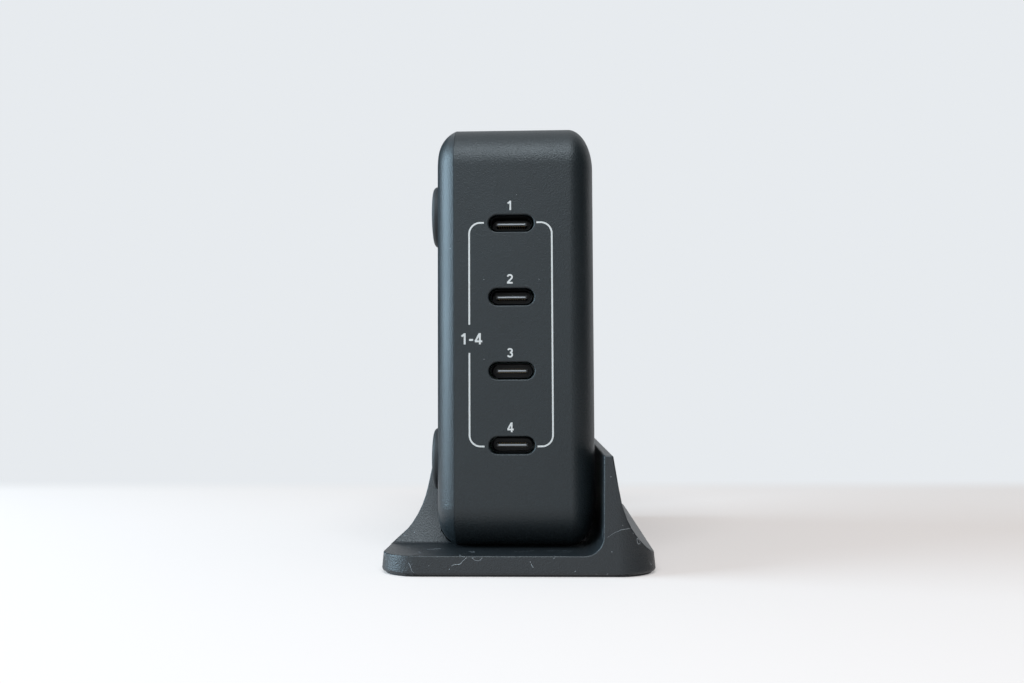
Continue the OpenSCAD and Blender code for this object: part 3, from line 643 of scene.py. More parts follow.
# %% Rubber mat
mat_high = node_box("cradle_mat")[1]
MAT_INSET, MAT_PLAY, MAT_ROUND = 0.8, 0.03, 0.12
mat_r, mat_t = PLAN_R - MAT_INSET, mat_high[2]
mat_loop = square_loop(CRADLE_HALF - MAT_INSET, CRADLE_END - MAT_INSET, mat_r)
carve(cradle, make_piece("mat_tool", *sweep(mat_loop, [(mat_r, -1), (mat_r, mat_t + MAT_PLAY)])))
shade(cradle)
mat = make_piece("rubber_mat", *sweep(mat_loop, rounded(
    [(0, 0), (mat_r - MAT_PLAY, 0), (mat_r - MAT_PLAY, mat_t), (0, mat_t)], [0, MAT_ROUND, MAT_ROUND, 0])))
shade(mat)
report(mat)

# %% [markdown]
# ## The ports
# Behind each slot sits a connector: a drawn metal shell with a turned-in mouth, and in its
# middle the tongue that carries twelve gold contacts on either side. The CAD tongue has its
# true shape and stays. The shell is made again with a round mouth, and the steel plate that
# stiffens the tongue shows at its tip, where its round nose draws a thin light line.

# %% Port shells
PORT_W, PORT_H, PORT_WALL, PORT_LEN, PORT_SETBACK = 9.1, 3.3, 0.25, 6.2, 0.9
MOUTH_IN, MOUTH_OUT = 0.1, 0.12
port_loop = square_loop(PORT_W / 2, PORT_H / 2, PORT_H / 2, 16, 4)
mouth = rounded([(PORT_H / 2 - PORT_WALL, PORT_SETBACK + PORT_LEN), (PORT_H / 2 - PORT_WALL, PORT_SETBACK),
                 (PORT_H / 2, PORT_SETBACK), (PORT_H / 2, PORT_SETBACK + PORT_LEN)],
                [0, MOUTH_IN, MOUTH_OUT, 0])
port_shells = []
for i, z in enumerate(port_heights, 1):
    points, faces = sweep(port_loop, mouth, closed=True)
    port_shell = make_piece(f"port_mouth_{i}", at_front(points, port_x, z), faces)
    shade(port_shell)
    port_shells.append(port_shell)
report(port_shells[0])

# %% Steel plates of the tongues
TONGUE_T, TONGUE_SETBACK = 0.7, 0.9
PLATE_W, PLATE_T, PLATE_NOSE, PLATE_OUT, PLATE_LEN = 6.3, 0.46, 0.2, 0.08, 1
nose = PORT_SETBACK + TONGUE_SETBACK - PLATE_OUT
plate_profile = rounded([(0, nose), (PLATE_T / 2, nose), (PLATE_T / 2, nose + PLATE_LEN)],
                        [0, PLATE_NOSE, 0], 6)
plates = []
for z in port_heights:
    points, faces = sweep(square_loop(PLATE_W / 2, PLATE_T / 2, PLATE_T / 2, 12, 4), plate_profile)
    plates.append((at_front(points, port_x, z), faces))
plates = make_piece("port_plates", *stacked(plates))
shade(plates)
report(plates)

# %% [markdown]
# The contacts are flat strips pressed into both faces of the tongue, half sunk, so that their
# outer faces stand a little proud and catch the light.

# %% Gold contacts
CONTACTS, CONTACT_PITCH, CONTACT_W, CONTACT_LEN, CONTACT_T, CONTACT_START = 12, 0.5, 0.28, 3.2, 0.03, 0.5
unit = np.array([(x, y, z) for x in (-0.5, 0.5) for y in (-0.5, 0.5) for z in (0, 1)])
unit_faces = [(0, 1, 3, 2), (4, 6, 7, 5), (0, 4, 5, 1), (2, 3, 7, 6), (0, 2, 6, 4), (1, 5, 7, 3)]
first_depth = PORT_SETBACK + TONGUE_SETBACK + CONTACT_START
strips = []
for z in port_heights:
    for side in (-1, 1):
        for k in range(CONTACTS):
            across = (k - (CONTACTS - 1) / 2) * CONTACT_PITCH
            corner = [across, side * TONGUE_T / 2, first_depth]
            strip = unit * [CONTACT_W, 2 * CONTACT_T, CONTACT_LEN] + corner
            strips.append((at_front(strip, port_x, z), unit_faces))
contacts = make_piece("port_contacts", *stacked(strips))
report(contacts)

# %% [markdown]
# ## The mains inlet
# The inlet on the back is a moulded block with a recess of two round lobes joined by a waist.
# The recess outline is written as base points and normals: the lobes' arcs, two small hollow
# fillets and the straight waist, one quarter of it mirrored three times.

# %% Inlet
PIN_PITCH, LOBE_R, WAIST_H, WAIST_FILLET = 8.6, 4.1, 5.2, 0.8
RECESS_DEPTH, INLET_FLOOR = 12.4, 2.6
RECESS_ROUND, BLOCK_ROUND, PIN_PLAY, PIN_HOLE_END = 0.3, 0.2, 0.005, 16
FLANGE_RIM, FLANGE_T = 1.8, 1.5


def two_lobe_loop():
    """Base points p and normals n of two circles of radius R at +-c joined by a waist y = +-w,
    with fillets of radius q whose middles lie at x = c - sqrt((R + q)^2 - (w + q)^2), y = w + q."""
    c, w, q = PIN_PITCH / 2, WAIST_H / 2, WAIST_FILLET
    fillet = np.array([c - np.sqrt((LOBE_R + q)**2 - (w + q)**2), w + q])
    reach = np.arctan2(fillet[1], fillet[0] - c)
    lobe = np.linspace(0, reach, 24)
    hollow = np.linspace(reach + np.pi, 1.5 * np.pi, 7)[1:]
    out_of_lobe = np.stack([np.cos(lobe), np.sin(lobe)], -1)
    out_of_fillet = np.stack([np.cos(hollow), np.sin(hollow)], -1)
    p = np.concatenate([[c, 0] + LOBE_R * out_of_lobe, fillet + q * out_of_fillet])
    n = np.concatenate([out_of_lobe, -out_of_fillet])
    for flip in ([-1, 1], [1, -1]):
        p, n = np.concatenate([p, p[::-1] * flip]), np.concatenate([n, n[::-1] * flip])
    return p - LOBE_R * n, n


block_back, flange = WALL + FLANGE_T, INLET_R + FLANGE_RIM
block_profile = rounded([(INLET_R, RECESS_DEPTH + INLET_FLOOR), (INLET_R, block_back), (flange, block_back),
                         (flange, WALL), (INLET_R, WALL), (INLET_R, 0), (0, 0)],
                        [0, 0, BLOCK_ROUND, BLOCK_ROUND, 0, BLOCK_ROUND, 0])
points, faces = sweep(square_loop(INLET_W / 2, INLET_H / 2, INLET_R, 6, 4), block_profile[:-1])
inlet = make_piece("inlet_block", at_back(points, inlet_x, inlet_z), faces)
middles, directions = two_lobe_loop()
keep = np.linalg.norm(np.roll(middles + directions, 1, 0) - middles - directions, axis=1) > 1e-6
points, faces = sweep((middles[keep], directions[keep]), flared(LOBE_R, RECESS_DEPTH, RECESS_ROUND))
carve(inlet, make_piece("recess_tool", at_back(points, inlet_x, inlet_z), faces))
pin_low, pin_high = node_box("inlet_pins")
pin_hole = (pin_high[0] - pin_low[0]) / 2 + PIN_PLAY
holes = []
for side in (-1, 1):
    points, faces = sweep(round_loop(32), [(pin_hole, RECESS_DEPTH - CUT_THROUGH), (pin_hole, PIN_HOLE_END)])
    holes.append((at_back(points + [side * PIN_PITCH / 2, 0, 0], inlet_x, inlet_z), faces))
carve(inlet, make_piece("pin_tool", *stacked(holes)))
shade(inlet)
report(inlet)

# %% [markdown]
# ## The print on the port face
# A light line joins the four ports and plain numbers mark them. The ink is a film that stands
# a few hundredths of a millimetre proud, so each line is a thin ribbon carried along its path
# with round corners. A font would do for the numbers, but its figures are thin, so they are
# drawn with the same ribbon as strokes and arcs, bold enough to be read.

# %% Lines
LINE_W, INK, INK_ROOT = 0.36, 0.02, 0.01
LEFT_X, RIGHT_X, TOP_Z, BOTTOM_Z, LINE_R = -10.3, 7.57, 74.67, 26.45, 2.4
STUB_LEFT, STUB_RIGHT = -7.1, 4.25
GAP_TOP, GAP_BOTTOM = 52.6, 46.5


def ribbon(path, width=LINE_W, ink=INK):
    """Closed strip of a width w along a path: section corners at p +- n w / 2 and at two depths."""
    path = np.array(path, float)
    along = np.gradient(path, axis=0)
    along /= np.linalg.norm(along, axis=1, keepdims=True)
    across = np.stack([-along[:, 1], along[:, 0]], -1) * width / 2
    section = [(path + across, INK_ROOT), (path + across, -ink), (path - across, -ink),
               (path - across, INK_ROOT)]
    points = np.stack([np.concatenate([p, np.full((len(p), 1), depth)], -1) for p, depth in section], 1)
    last = 4 * len(path) - 4
    faces = grid_quads(len(path), 4, False, True).tolist()
    faces += [[0, 1, 2, 3], [last, last + 1, last + 2, last + 3]]
    return at_front(points.reshape(-1, 3), 0, 0), faces


lines = [rounded([(STUB_LEFT, TOP_Z), (LEFT_X, TOP_Z), (LEFT_X, GAP_TOP)], [0, LINE_R, 0], 12),
         rounded([(LEFT_X, GAP_BOTTOM), (LEFT_X, BOTTOM_Z), (STUB_LEFT, BOTTOM_Z)], [0, LINE_R, 0], 12),
         rounded([(STUB_RIGHT, TOP_Z), (RIGHT_X, TOP_Z), (RIGHT_X, BOTTOM_Z), (STUB_RIGHT, BOTTOM_Z)],
                 [0, LINE_R, LINE_R, 0], 12)]
print_lines = make_piece("print_lines", *stacked([ribbon(path) for path in lines]))
report(print_lines)

# %% Numbers
DIGIT_H, DIGIT_STROKE, DIGIT_RISE, DIGIT_X = 2.05, 0.17, 3.84, -1.5
RANGE_H, RANGE_X, RANGE_Z = 2.4, -9.9, 49.55
STROKE_RISE = 0.004


def arc(middle, radii, first, last, steps=14):
    """Points m + (a cos t, b sin t) with t from the first to the last angle in degrees."""
    t = np.radians(np.linspace(first, last, steps))
    return np.array(middle) + np.stack([np.cos(t), np.sin(t)], -1) * radii


FIGURES = {
    "1": [[(0.40, 0), (0.40, 1)], [(0.43, 0.93), (0.12, 0.72)]],
    "2": [[*arc((0.32, 0.70), (0.235, 0.215), 172, -38), (0.08, 0.10)], [(0.02, 0.085), (0.62, 0.085)]],
    "3": [arc((0.30, 0.72), (0.215, 0.195), 160, -90), arc((0.30, 0.305), (0.24, 0.22), 90, -160)],
    "4": [[(0.42, 0.95), (0.06, 0.31)], [(0.00, 0.27), (0.66, 0.27)], [(0.45, 0), (0.45, 1)]],
    "-": [[(0.14, 0.40), (0.50, 0.40)]],
}
ADVANCE, FIGURE_MIDDLE = 0.66, 0.33


def figures(text, x, z, height):
    """Strokes of each sign, one unit high, scaled to the height and set side by side with their middle
    at (x, z). Each next stroke lies a little higher, so that no two faces share a plane."""
    strokes = []
    for k, sign in enumerate(text):
        shift = [(k - (len(text) - 1) / 2) * ADVANCE - FIGURE_MIDDLE, -0.5]
        for layer, path in enumerate(FIGURES[sign]):
            place = (np.array(path) + shift) * height + [x, z]
            strokes.append(ribbon(place, DIGIT_STROKE * height, INK + layer * STROKE_RISE))
    return strokes


numbers = []
for i, z in enumerate(port_heights, 1):
    numbers += figures(str(i), DIGIT_X, z + DIGIT_RISE, DIGIT_H)
numbers += figures("1-4", RANGE_X, RANGE_Z, RANGE_H)
print_numbers = make_piece("print_numbers", *stacked(numbers))
report(print_numbers)

# %% [markdown]
# ## Shared effects for the materials
# Moulded plastic, rubber and metal share three effects: the fine grain that the mould's etched
# surface leaves, slightly paler edges where hands have polished the grain, and a little dust.
# Each is a node group built once and placed in every material with its own numbers. The grain
# comes first: rounded pits from cell noise with a ripple over them, and a slow drift besides.


# %% Nodes and the moulded grain
def add(tree, kind, inputs=None, **settings):
    """New node of a kind. An input given another node's output is wired, any other gets the value."""
    node = tree.nodes.new(kind if kind.startswith("Node") else "ShaderNode" + kind)
    for key, value in settings.items():
        setattr(node, key, value)
    for key, value in (inputs or {}).items():
        if isinstance(value, bpy.types.NodeSocket):
            tree.links.new(value, node.inputs[key])
        else:
            node.inputs[key].default_value = value
    return node


def maths(tree, operation, a, b=0.0, c=0.0, clamp=False):
    """Output of one Math node."""
    return add(tree, "Math", {0: a, 1: b, 2: c}, operation=operation, use_clamp=clamp).outputs[0]


def effect(name, inputs, outputs):
    """Empty node group with those sockets, as (group, its input node, its output node)."""
    group = bpy.data.node_groups.new(name, "ShaderNodeTree")
    for label, (kind, value) in inputs.items():
        socket = group.interface.new_socket(label, in_out="INPUT", socket_type="NodeSocket" + kind)
        if value is not None:
            socket.default_value = value
    for label in outputs:
        group.interface.new_socket(label, in_out="OUTPUT", socket_type="NodeSocketFloat")
    return group, add(group, "NodeGroupInput"), add(group, "NodeGroupOutput")


PIT_SOFTNESS, PIT_SHARE, RIPPLE_SHARE, PATCH_SCALE = 0.6, 0.8, 0.7, 60.0
grain, given, result = effect("moulded grain", {"Place": ("Vector", None), "Size mm": ("Float", 0.2)},
                              ["Height", "Tone", "Patch"])
place = given.outputs["Place"]
scale = maths(grain, "DIVIDE", 1 / MM, given.outputs["Size mm"])
pits = add(grain, "TexVoronoi", {"Vector": place, "Scale": scale, "Randomness": 1.0}, feature="SMOOTH_F1")
pits.inputs["Smoothness"].default_value = PIT_SOFTNESS
ripple = add(grain, "TexNoise", {"Vector": place, "Scale": maths(grain, "MULTIPLY", scale, RIPPLE_SHARE),
                                 "Detail": 3.0, "Roughness": 0.6})
patch = add(grain, "TexNoise", {"Vector": place, "Scale": PATCH_SCALE, "Detail": 3.0, "Roughness": 0.55})
grain.links.new(maths(grain, "ADD", maths(grain, "MULTIPLY", pits.outputs["Distance"], PIT_SHARE),
                      ripple.outputs["Fac"]), result.inputs["Height"])
grain.links.new(ripple.outputs["Fac"], result.inputs["Tone"])
grain.links.new(patch.outputs["Fac"], result.inputs["Patch"])
print(grain.name, "has", len(grain.nodes), "nodes")

# %% [markdown]
# Dust lies by chance, so it comes from cell noise: a cell's own point is where a speck or a
# fibre may lie, and its random colour says whether it does, how large it is and which way the
# fibre runs. The surface meets few of these points exactly, so each distance is measured along
# the surface, with the part along its normal taken off. Away from the front, where hands hold
# the cradle, there are fewer fibres.

# %% Dust specks and loose fibres
SPECK_CELLS, SPECK_R, SPECK_MORE, SPECK_REACH = 420.0, 0.00003, 0.00005, 0.0005
FIBRE_CELLS, FIBRE_HALF_W, FIBRE_HALF_LEN, FIBRE_REACH = 150.0, 0.00004, 0.0026, 0.003
BEND_SCALE, BEND, MID_GREY = 190.0, 0.012, (0.5, 0.5, 0.5)
DUSTY_TO, HANDLED_FROM, HANDLED_SHARE = -0.048, -0.040, 0.16
dust, given, result = effect("dust and fibres", {"Place": ("Vector", None), "Specks": ("Float", 0.1),
                                                 "Fibres": ("Float", 0.1)}, ["Mask"])
place, upright = given.outputs["Place"], add(dust, "NewGeometry").outputs["Normal"]


def vector(operation, a, b=None, scale=None):
    """Node of one vector operation in the dust group."""
    inputs = {0: a} | ({1: b} if b is not None else {}) | ({3: scale} if scale is not None else {})
    return add(dust, "VectorMath", inputs, operation=operation)


def laid_flat(v):
    """A vector's part along the surface, v - n (v.n), and its height v.n over it."""
    height = vector("DOT_PRODUCT", v, upright).outputs["Value"]
    part_up = vector("SCALE", upright, scale=height).outputs[0]
    return vector("SUBTRACT", v, part_up).outputs[0], maths(dust, "ABSOLUTE", height)


specks = add(dust, "TexVoronoi", {"Vector": place, "Scale": SPECK_CELLS})
chance = add(dust, "SeparateColor", {0: specks.outputs["Color"]})
flat, height = laid_flat(vector("SUBTRACT", place, specks.outputs["Position"]).outputs[0])
radius = maths(dust, "MULTIPLY", maths(dust, "LESS_THAN", chance.outputs[0], given.outputs["Specks"]),
               maths(dust, "MULTIPLY_ADD", chance.outputs[1], SPECK_MORE, SPECK_R))
speck = maths(dust, "MULTIPLY", maths(dust, "LESS_THAN", vector("LENGTH", flat).outputs["Value"], radius),
              maths(dust, "LESS_THAN", height, SPECK_REACH))
bent = add(dust, "TexNoise", {"Vector": place, "Scale": BEND_SCALE, "Detail": 1.0})
shift = vector("SCALE", vector("SUBTRACT", bent.outputs["Color"], MID_GREY).outputs[0], scale=BEND).outputs[0]
spot = vector("ADD", place, shift).outputs[0]
threads = add(dust, "TexVoronoi", {"Vector": spot, "Scale": FIBRE_CELLS})
flat, height = laid_flat(vector("SUBTRACT", spot, threads.outputs["Position"]).outputs[0])
way = laid_flat(vector("SUBTRACT", threads.outputs["Color"], MID_GREY).outputs[0])[0]
way = vector("NORMALIZE", way).outputs[0]
along = vector("DOT_PRODUCT", flat, way).outputs["Value"]
away = vector("DISTANCE", flat, vector("SCALE", way, scale=along).outputs[0]).outputs["Value"]
pick = add(dust, "SeparateColor", {0: threads.outputs["Color"]})
depth = add(dust, "SeparateXYZ", {0: place}).outputs["Y"]
left_alone = add(dust, "MapRange", {"Value": depth, "From Min": DUSTY_TO, "From Max": HANDLED_FROM,
                                    "To Min": 1.0, "To Max": HANDLED_SHARE})
wanted = maths(dust, "MULTIPLY", given.outputs["Fibres"], left_alone.outputs[0])
fibre = maths(dust, "LESS_THAN", away, FIBRE_HALF_W)
for limit, value in ((FIBRE_HALF_LEN, maths(dust, "ABSOLUTE", along)), (FIBRE_REACH, height),
                     (wanted, pick.outputs[2])):
    fibre = maths(dust, "MULTIPLY", fibre, maths(dust, "LESS_THAN", value, limit))
dust.links.new(maths(dust, "MAXIMUM", speck, fibre), result.inputs["Mask"])
print(dust.name, "has", len(dust.nodes), "nodes")

# %% [markdown]
# Pointiness tells how far the surface bulges at a point. A Map Range node turns it into a mask
# of the edges, and a noise breaks the mask up, because no edge wears evenly.

# %% Worn edges
BULGE_FROM, BULGE_TO, RUB_SCALE, RUB_GAIN, RUB_START = 0.515, 0.56, 180.0, 1.2, -0.1
wear, given, result = effect("worn edges", {"Place": ("Vector", None), "Amount": ("Float", 0.5)}, ["Mask"])
bulge = add(wear, "NewGeometry").outputs["Pointiness"]
rub = add(wear, "TexNoise", {"Vector": given.outputs["Place"], "Scale": RUB_SCALE, "Detail": 4.0})
edge = add(wear, "MapRange", {"Value": bulge, "From Min": BULGE_FROM, "From Max": BULGE_TO})
rubbed = maths(wear, "MULTIPLY_ADD", rub.outputs["Fac"], RUB_GAIN, RUB_START, clamp=True)
rubbed = maths(wear, "MULTIPLY", edge.outputs[0], rubbed)
wear.links.new(maths(wear, "MULTIPLY", rubbed, given.outputs["Amount"]), result.inputs["Mask"])
print("node groups:", [g.name for g in bpy.data.node_groups])

# %% [markdown]
# ## Materials
# One recipe serves every moulded or metal surface: a colour that drifts a little over the
# piece, a roughness that follows the same drift, the grain as a bump, paler worn edges and
# dust. The numbers are what make one of them plastic and another rubber, copper or steel. The
# shell's plastic is a dark, slightly blue grey with a fine matt grain.

# %% One recipe for solid surfaces
DUST_COLOUR, DUST_ROUGHNESS = (0.36, 0.38, 0.40), 0.9
ROUGH_DRIFT, WORN_LIFT, WORN_POLISH = 0.12, 2.2, 0.12


def surface(name, colour, roughness, grain_mm=0.2, depth_mm=0.01, drift=0.12, tone=0.0, worn=0.0,
            specks=0.0, fibres=0.0, metallic=0.0, specular=0.5, coat=0.0, worn_colour=None):
    """Material from plain numbers: colour (1 + drift (patch - 0.5) 2 + tone (tone - 0.5) 2), edges and
    dust mixed over it, roughness + ROUGH_DRIFT (patch - 0.5), and the grain's height as a bump."""
    material = bpy.data.materials.new(name)
    material.use_nodes = True
    tree = material.node_tree
    shader = tree.nodes["Principled BSDF"]
    place = add(tree, "TexCoord").outputs["Object"]
    grains = add(tree, "Group", {"Place": place, "Size mm": grain_mm}, node_tree=grain)
    level = maths(tree, "ADD", maths(tree, "MULTIPLY_ADD", grains.outputs["Patch"], 2 * drift, 1 - drift),
                  maths(tree, "MULTIPLY_ADD", grains.outputs["Tone"], 2 * tone, -tone))
    paint = add(tree, "Mix", {0: level, 6: (0, 0, 0, 1), 7: (*colour, 1)}, data_type="RGBA",
                clamp_factor=False).outputs[2]
    rough = maths(tree, "MULTIPLY_ADD", grains.outputs["Patch"], ROUGH_DRIFT, roughness - ROUGH_DRIFT / 2)
    if worn:
        edges = add(tree, "Group", {"Place": place, "Amount": worn}, node_tree=wear).outputs[0]
        pale = (*(worn_colour or [c * WORN_LIFT for c in colour]), 1)
        paint = add(tree, "Mix", {0: edges, 6: paint, 7: pale}, data_type="RGBA").outputs[2]
        rough = maths(tree, "SUBTRACT", rough, maths(tree, "MULTIPLY", edges, WORN_POLISH))
    if specks or fibres:
        lint = add(tree, "Group", {"Place": place, "Specks": specks, "Fibres": fibres},
                   node_tree=dust).outputs[0]
        paint = add(tree, "Mix", {0: lint, 6: paint, 7: (*DUST_COLOUR, 1)}, data_type="RGBA").outputs[2]
        rough = maths(tree, "MAXIMUM", rough, maths(tree, "MULTIPLY", lint, DUST_ROUGHNESS))
    bump = add(tree, "Bump", {"Height": grains.outputs["Height"], "Strength": 1.0, "Distance": depth_mm * MM})
    tree.links.new(paint, shader.inputs["Base Color"])
    tree.links.new(rough, shader.inputs["Roughness"])
    tree.links.new(bump.outputs[0], shader.inputs["Normal"])
    shader.inputs["Metallic"].default_value = metallic
    shader.inputs["Specular IOR Level"].default_value = specular
    shader.inputs["Coat Weight"].default_value = coat
    return material


shell_plastic = surface("shell plastic", (0.0066, 0.0104, 0.0124), 0.46, grain_mm=0.30, depth_mm=0.060,
                        drift=0.10, tone=0.45, worn=0.25, specks=0.012)
print(shell_plastic.name, "has", len(shell_plastic.node_tree.nodes), "nodes")

# %% [markdown]
# The cover is a little smoother than the shell, the cradle a little blacker and more worn, and
# it has gathered the most dust. Rubber is rougher still. The ink is a pale grey film.


# %% Plastics, rubber and print
def dress(piece, material, replaced=()):
    """Gives a finished piece its material and body, and hides the CAD nodes it stands for."""
    piece.data.materials.clear()
    piece.data.materials.append(material)
    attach(piece, "root")
    if replaced:
        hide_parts(*replaced)


cover_plastic = surface("cover plastic", (0.0070, 0.0120, 0.0150), 0.38, grain_mm=0.30, depth_mm=0.042,
                        drift=0.08, tone=0.3, worn=0.2, specks=0.012)
cradle_plastic = surface("cradle plastic", (0.0036, 0.0062, 0.0082), 0.46, grain_mm=0.32, depth_mm=0.060,
                         drift=0.12, tone=0.4, worn=0.45, specks=0.20, fibres=0.55, specular=0.62)
rubber = surface("rubber", (0.009, 0.0105, 0.012), 0.62, grain_mm=0.12, depth_mm=0.006, tone=0.15,
                 worn=0.3, specks=0.12)
ink = surface("ink", (0.53, 0.53, 0.52), 0.55, grain_mm=0.12, depth_mm=0.004, drift=0.05, tone=0.12)
dress(shell, shell_plastic, ["main_shell"])
dress(cover, cover_plastic, ["side_cover"])
dress(cradle, cradle_plastic, ["cradle"])
for i, foot in enumerate(feet, 1):
    dress(foot, rubber, [f"foot_{i}"])
dress(mat, rubber, ["cradle_mat"])
dress(print_lines, ink)
dress(print_numbers, ink)
print("dressed in", [m.name for m in (shell_plastic, cover_plastic, cradle_plastic, rubber, ink)])

# %% [markdown]
# Down in the slots little light arrives. The port shells get a nearly black colour as painted
# shade for this, and what shows is the steel nose of each tongue and a hint of gold under it.


# %% Ports and inlet
def finish_node(names, material):
    """Gives CAD nodes a material."""
    for name in names:
        nodes[name].data.materials.clear()
        nodes[name].data.materials.append(material)


# The port shells' near-black colour is painted shade for the dark slots, not the steel's own colour.
port_metal_painted_shade = surface("port metal with painted shade", (0.004, 0.0045, 0.005), 0.6, grain_mm=0.1, depth_mm=0.002, drift=0.15,
                     tone=0.1, worn=0.2, metallic=1.0, worn_colour=(0.1, 0.1, 0.1))
plate_steel = surface("plate steel", (0.42, 0.45, 0.47), 0.42, grain_mm=0.1, depth_mm=0.001, drift=0.1,
                      tone=0.05, metallic=1.0)
tongue_plastic = surface("tongue plastic", (0.008, 0.008, 0.009), 0.45, grain_mm=0.1, depth_mm=0.002,
                         drift=0.08, tone=0.05)
gold = surface("gold contacts", (0.55, 0.40, 0.18), 0.35, grain_mm=0.08, depth_mm=0.001, drift=0.1,
               tone=0.05, metallic=1.0)
inlet_plastic = surface("inlet plastic", (0.012, 0.013, 0.014), 0.42, grain_mm=0.18, depth_mm=0.008,
                        drift=0.1, tone=0.2, worn=0.3, specks=0.04)
pin_metal = surface("pin metal", (0.62, 0.60, 0.56), 0.24, grain_mm=0.1, depth_mm=0.001, drift=0.15,
                    tone=0.1, metallic=1.0)
for i, port_shell in enumerate(port_shells, 1):
    dress(port_shell, port_metal_painted_shade, [f"port_shell_{i}"])
dress(contacts, gold)
dress(plates, plate_steel)
dress(inlet, inlet_plastic, ["mains_inlet"])
finish_node([f"port_tongue_{i}" for i in range(1, PORT_COUNT + 1)], tongue_plastic)
finish_node(["inlet_pins"], pin_metal)
print("materials so far:", len(bpy.data.materials))

# %% [markdown]
# The parts inside keep their CAD shapes. The closed housing hides them, but each is a piece of
# its own, so each gets the finish of its real kind from the same recipe.

# %% Inside the charger
inside_finishes = {
    "steel": (["cover_screws"], (0.45, 0.45, 0.46), 0.3, dict(metallic=1.0, grain_mm=0.3, depth_mm=0.002)),
    "film": (["insulating_sheet"], (0.55, 0.52, 0.42), 0.4, dict(grain_mm=0.6, depth_mm=0.003)),
    "aluminium": (["heat_spreader", "heat_sink"], (0.72, 0.73, 0.74), 0.36,
                  dict(metallic=1.0, grain_mm=0.15, depth_mm=0.003, tone=0.1)),
    "soft pad": (["thermal_pad"], (0.28, 0.42, 0.55), 0.75, dict(grain_mm=0.4, depth_mm=0.02)),
    "circuit board": (["main_board", "port_board"], (0.02, 0.13, 0.05), 0.35,
                      dict(grain_mm=0.5, depth_mm=0.01, drift=0.25, coat=0.3)),
    "ferrite": (["transformer_core", "boost_core", "choke_core"], (0.05, 0.05, 0.055), 0.6,
                dict(grain_mm=0.3, depth_mm=0.02, tone=0.3)),
    "copper": (["choke_windings", "boost_winding"], (0.72, 0.32, 0.13), 0.3,
               dict(metallic=1.0, grain_mm=0.5, depth_mm=0.05, tone=0.2)),
    "tape": (["transformer_winding"], (0.72, 0.58, 0.08), 0.35, dict(grain_mm=0.8, depth_mm=0.01)),
    "moulded black": (["bridge_rectifier", "power_transistors", "controller_chips", "fuse"]
                      + [f"output_inductor_{i}" for i in range(1, PORT_COUNT + 1)], (0.02, 0.02, 0.022), 0.5,
                      dict(grain_mm=0.25, depth_mm=0.012, tone=0.2)),
    "sleeve": (["bulk_capacitor_1", "bulk_capacitor_2"], (0.02, 0.03, 0.09), 0.3,
               dict(grain_mm=0.5, depth_mm=0.004)),
    "can": ([f"output_capacitor_{i}" for i in range(1, PORT_COUNT + 1)], (0.6, 0.61, 0.63), 0.28,
            dict(metallic=1.0, grain_mm=0.3, depth_mm=0.002)),
    "film case": (["film_capacitor"], (0.62, 0.48, 0.08), 0.45, dict(grain_mm=0.3, depth_mm=0.008)),
    "lead sleeve": (["inlet_leads"], (0.42, 0.02, 0.02), 0.45, dict(grain_mm=0.3, depth_mm=0.006)),
}
for name, (members, colour, roughness, more) in inside_finishes.items():
    finish_node(members, surface(name, colour, roughness, **more))
print("materials:", len(bpy.data.materials))

# %% [markdown]
# ## The studio
# The floor is a plain pale sheet. What the camera sees of it is lifted towards white by Light
# Path, so that no extra light falls on the object, and beyond the table's edges it turns into
# the backdrop's light grey through a soft band, as a table edge out of focus does. Stronger
# lamps would whiten it too, but they would also light the object.

# %% Floor
TABLE, BACKDROP, SHEET, LIFT = (0.93, 0.94, 0.955), (0.80, 0.83, 0.86), (0.88, 0.76, 0.71), 0.3
TABLE_DEPTH, TABLE_WIDTH, TABLE_BLUR, FLOOR_HALF = 0.165, 0.5, 0.03, 3.0


def seen_directly(tree):
    """1 for rays from the camera, mirror rays and rays through glass, 0 for the light on the object."""
    path = add(tree, "LightPath")
    return maths(tree, "MAXIMUM", maths(tree, "MAXIMUM", path.outputs["Is Camera Ray"],
                                        path.outputs["Is Glossy Ray"]), path.outputs["Is Transmission Ray"])


def past_edge(tree, distance, limit):
    """0 on the table and 1 beyond its edge, through a band as wide as the blur."""
    return add(tree, "MapRange", {"Value": maths(tree, "ABSOLUTE", distance), "From Min": limit - TABLE_BLUR,
                                  "From Max": limit + TABLE_BLUR}, interpolation_type="SMOOTHSTEP").outputs[0]


def floor_material():
    """Diffuse sheet, lifted towards white for seen rays and turned into the backdrop beyond the table."""
    material = bpy.data.materials.new("table")
    material.use_nodes = True
    tree = material.node_tree
    tree.nodes.remove(tree.nodes["Principled BSDF"])
    spot = add(tree, "SeparateXYZ", {0: add(tree, "TexCoord").outputs["Object"]})
    beyond = maths(tree, "MAXIMUM", past_edge(tree, spot.outputs["X"], TABLE_WIDTH),
                   past_edge(tree, spot.outputs["Y"], TABLE_DEPTH))
    sheet = add(tree, "BsdfDiffuse", {"Color": (*SHEET, 1)})
    lift = add(tree, "Emission", {"Color": (*TABLE, 1), "Strength": 1.0})
    far = add(tree, "Emission", {"Color": (*BACKDROP, 1), "Strength": 1.0})
    near = add(tree, "MixShader", {0: LIFT, 1: sheet.outputs[0], 2: lift.outputs[0]})
    table = add(tree, "MixShader", {0: beyond, 1: near.outputs[0], 2: far.outputs[0]})
    both = add(tree, "MixShader", {0: seen_directly(tree), 1: sheet.outputs[0], 2: table.outputs[0]})
    tree.links.new(both.outputs[0], tree.nodes["Material Output"].inputs["Surface"])
    return material


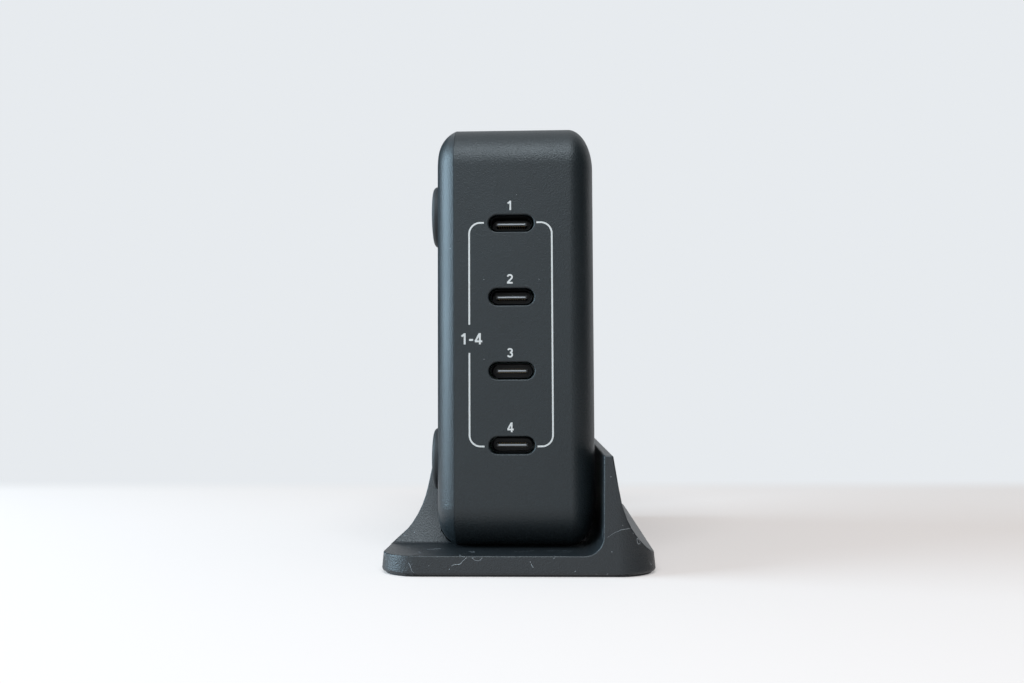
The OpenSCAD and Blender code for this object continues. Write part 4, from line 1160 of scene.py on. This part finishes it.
floor_mesh = bpy.data.meshes.new("floor")
floor_mesh.from_pydata([(x * FLOOR_HALF, y * FLOOR_HALF, 0) for x, y in ((-1, -1), (1, -1), (1, 1), (-1, 1))],
                       [], [(0, 1, 2, 3)])
floor = bpy.data.objects.new("floor", floor_mesh)
floor_mesh.materials.append(floor_material())
bpy.context.scene.collection.objects.link(floor)
print("floor", 2 * FLOOR_HALF, "m wide, table", 2 * TABLE_WIDTH, "by", 2 * TABLE_DEPTH, "m")

# %% World
AMBIENT, AMBIENT_STRENGTH = (1.0, 0.97, 0.92), 0.34
world = bpy.data.worlds.new("studio")
bpy.context.scene.world = world
world.use_nodes = True
tree = world.node_tree
ambient = tree.nodes["Background"]
ambient.inputs["Color"].default_value = (*AMBIENT, 1)
ambient.inputs["Strength"].default_value = AMBIENT_STRENGTH
seen = add(tree, "Background", {"Color": (*BACKDROP, 1), "Strength": 1.0})
mixed = add(tree, "MixShader", {0: seen_directly(tree), 1: ambient.outputs[0], 2: seen.outputs[0]})
tree.links.new(mixed.outputs[0], tree.nodes["World Output"].inputs["Surface"])
bpy.context.scene.view_settings.view_transform = "Standard"
print("world", world.name, "with the", bpy.context.scene.view_settings.view_transform, "view")

# %% [markdown]
# Three rectangular lamps give the light. A large bluish one on the left is the window: its
# reflection draws the bright line along the cover's edge. One high in front draws the soft
# light across the round top edge, and a weak one behind the camera opens the faces.

# %% Lamps
AIM = (0, 0, 0.05)


def soft_lamp(name, place, size, watts, colour):
    """Rectangular lamp at a place in metres, turned to the aim."""
    light = bpy.data.lights.new(name, "AREA")
    light.shape, light.size, light.size_y = "RECTANGLE", *size
    light.energy, light.color = watts, colour
    lamp = bpy.data.objects.new(name, light)
    bpy.context.scene.collection.objects.link(lamp)
    z = np.array(place, float) - np.array(AIM, float)
    z /= np.linalg.norm(z)
    x = np.cross([0, 0, 1], z)
    x /= np.linalg.norm(x)
    turn = Matrix(np.stack([x, np.cross(z, x), z], 1).tolist()).to_4x4()
    lamp.matrix_world = Matrix.Translation(place) @ turn
    lamp.visible_camera = False


soft_lamp("left window", (-0.62, -0.12, 0.20), (0.50, 0.6), 8.2, (0.57, 0.82, 1.0))
soft_lamp("front overhead", (0.0, -0.50, 0.70), (0.6, 0.20), 4.8, (0.80, 0.92, 1.0))
soft_lamp("front fill", (-0.1, -0.95, 0.25), (0.9, 0.5), 0.4, (0.86, 0.95, 1.0))

# %% [markdown]
# The photographed charger is darker towards its right edge and at the rim of its left one,
# because nothing bright stands there. Two dark cards that only reflections see do the same.

# %% Dark cards
CARD_HEIGHT = 0.5
CARD_FEET = (((0.25, -0.75), (0.25, 0.18)), ((-0.42, 0.20), (-0.20, 0.55)))
card_black = surface("dark card", (0.02, 0.02, 0.022), 0.8, grain_mm=1.0)
for k, ((x0, y0), (x1, y1)) in enumerate(CARD_FEET):
    card_mesh = bpy.data.meshes.new(f"dark_card_{k}")
    card_mesh.from_pydata([(x0, y0, 0), (x1, y1, 0), (x1, y1, CARD_HEIGHT), (x0, y0, CARD_HEIGHT)], [],
                          [(0, 1, 2, 3)])
    card_mesh.materials.append(card_black)
    card = bpy.data.objects.new(card_mesh.name, card_mesh)
    bpy.context.scene.collection.objects.link(card)
    card.visible_camera = card.visible_diffuse = card.visible_shadow = False
print("dark cards:", len(CARD_FEET))
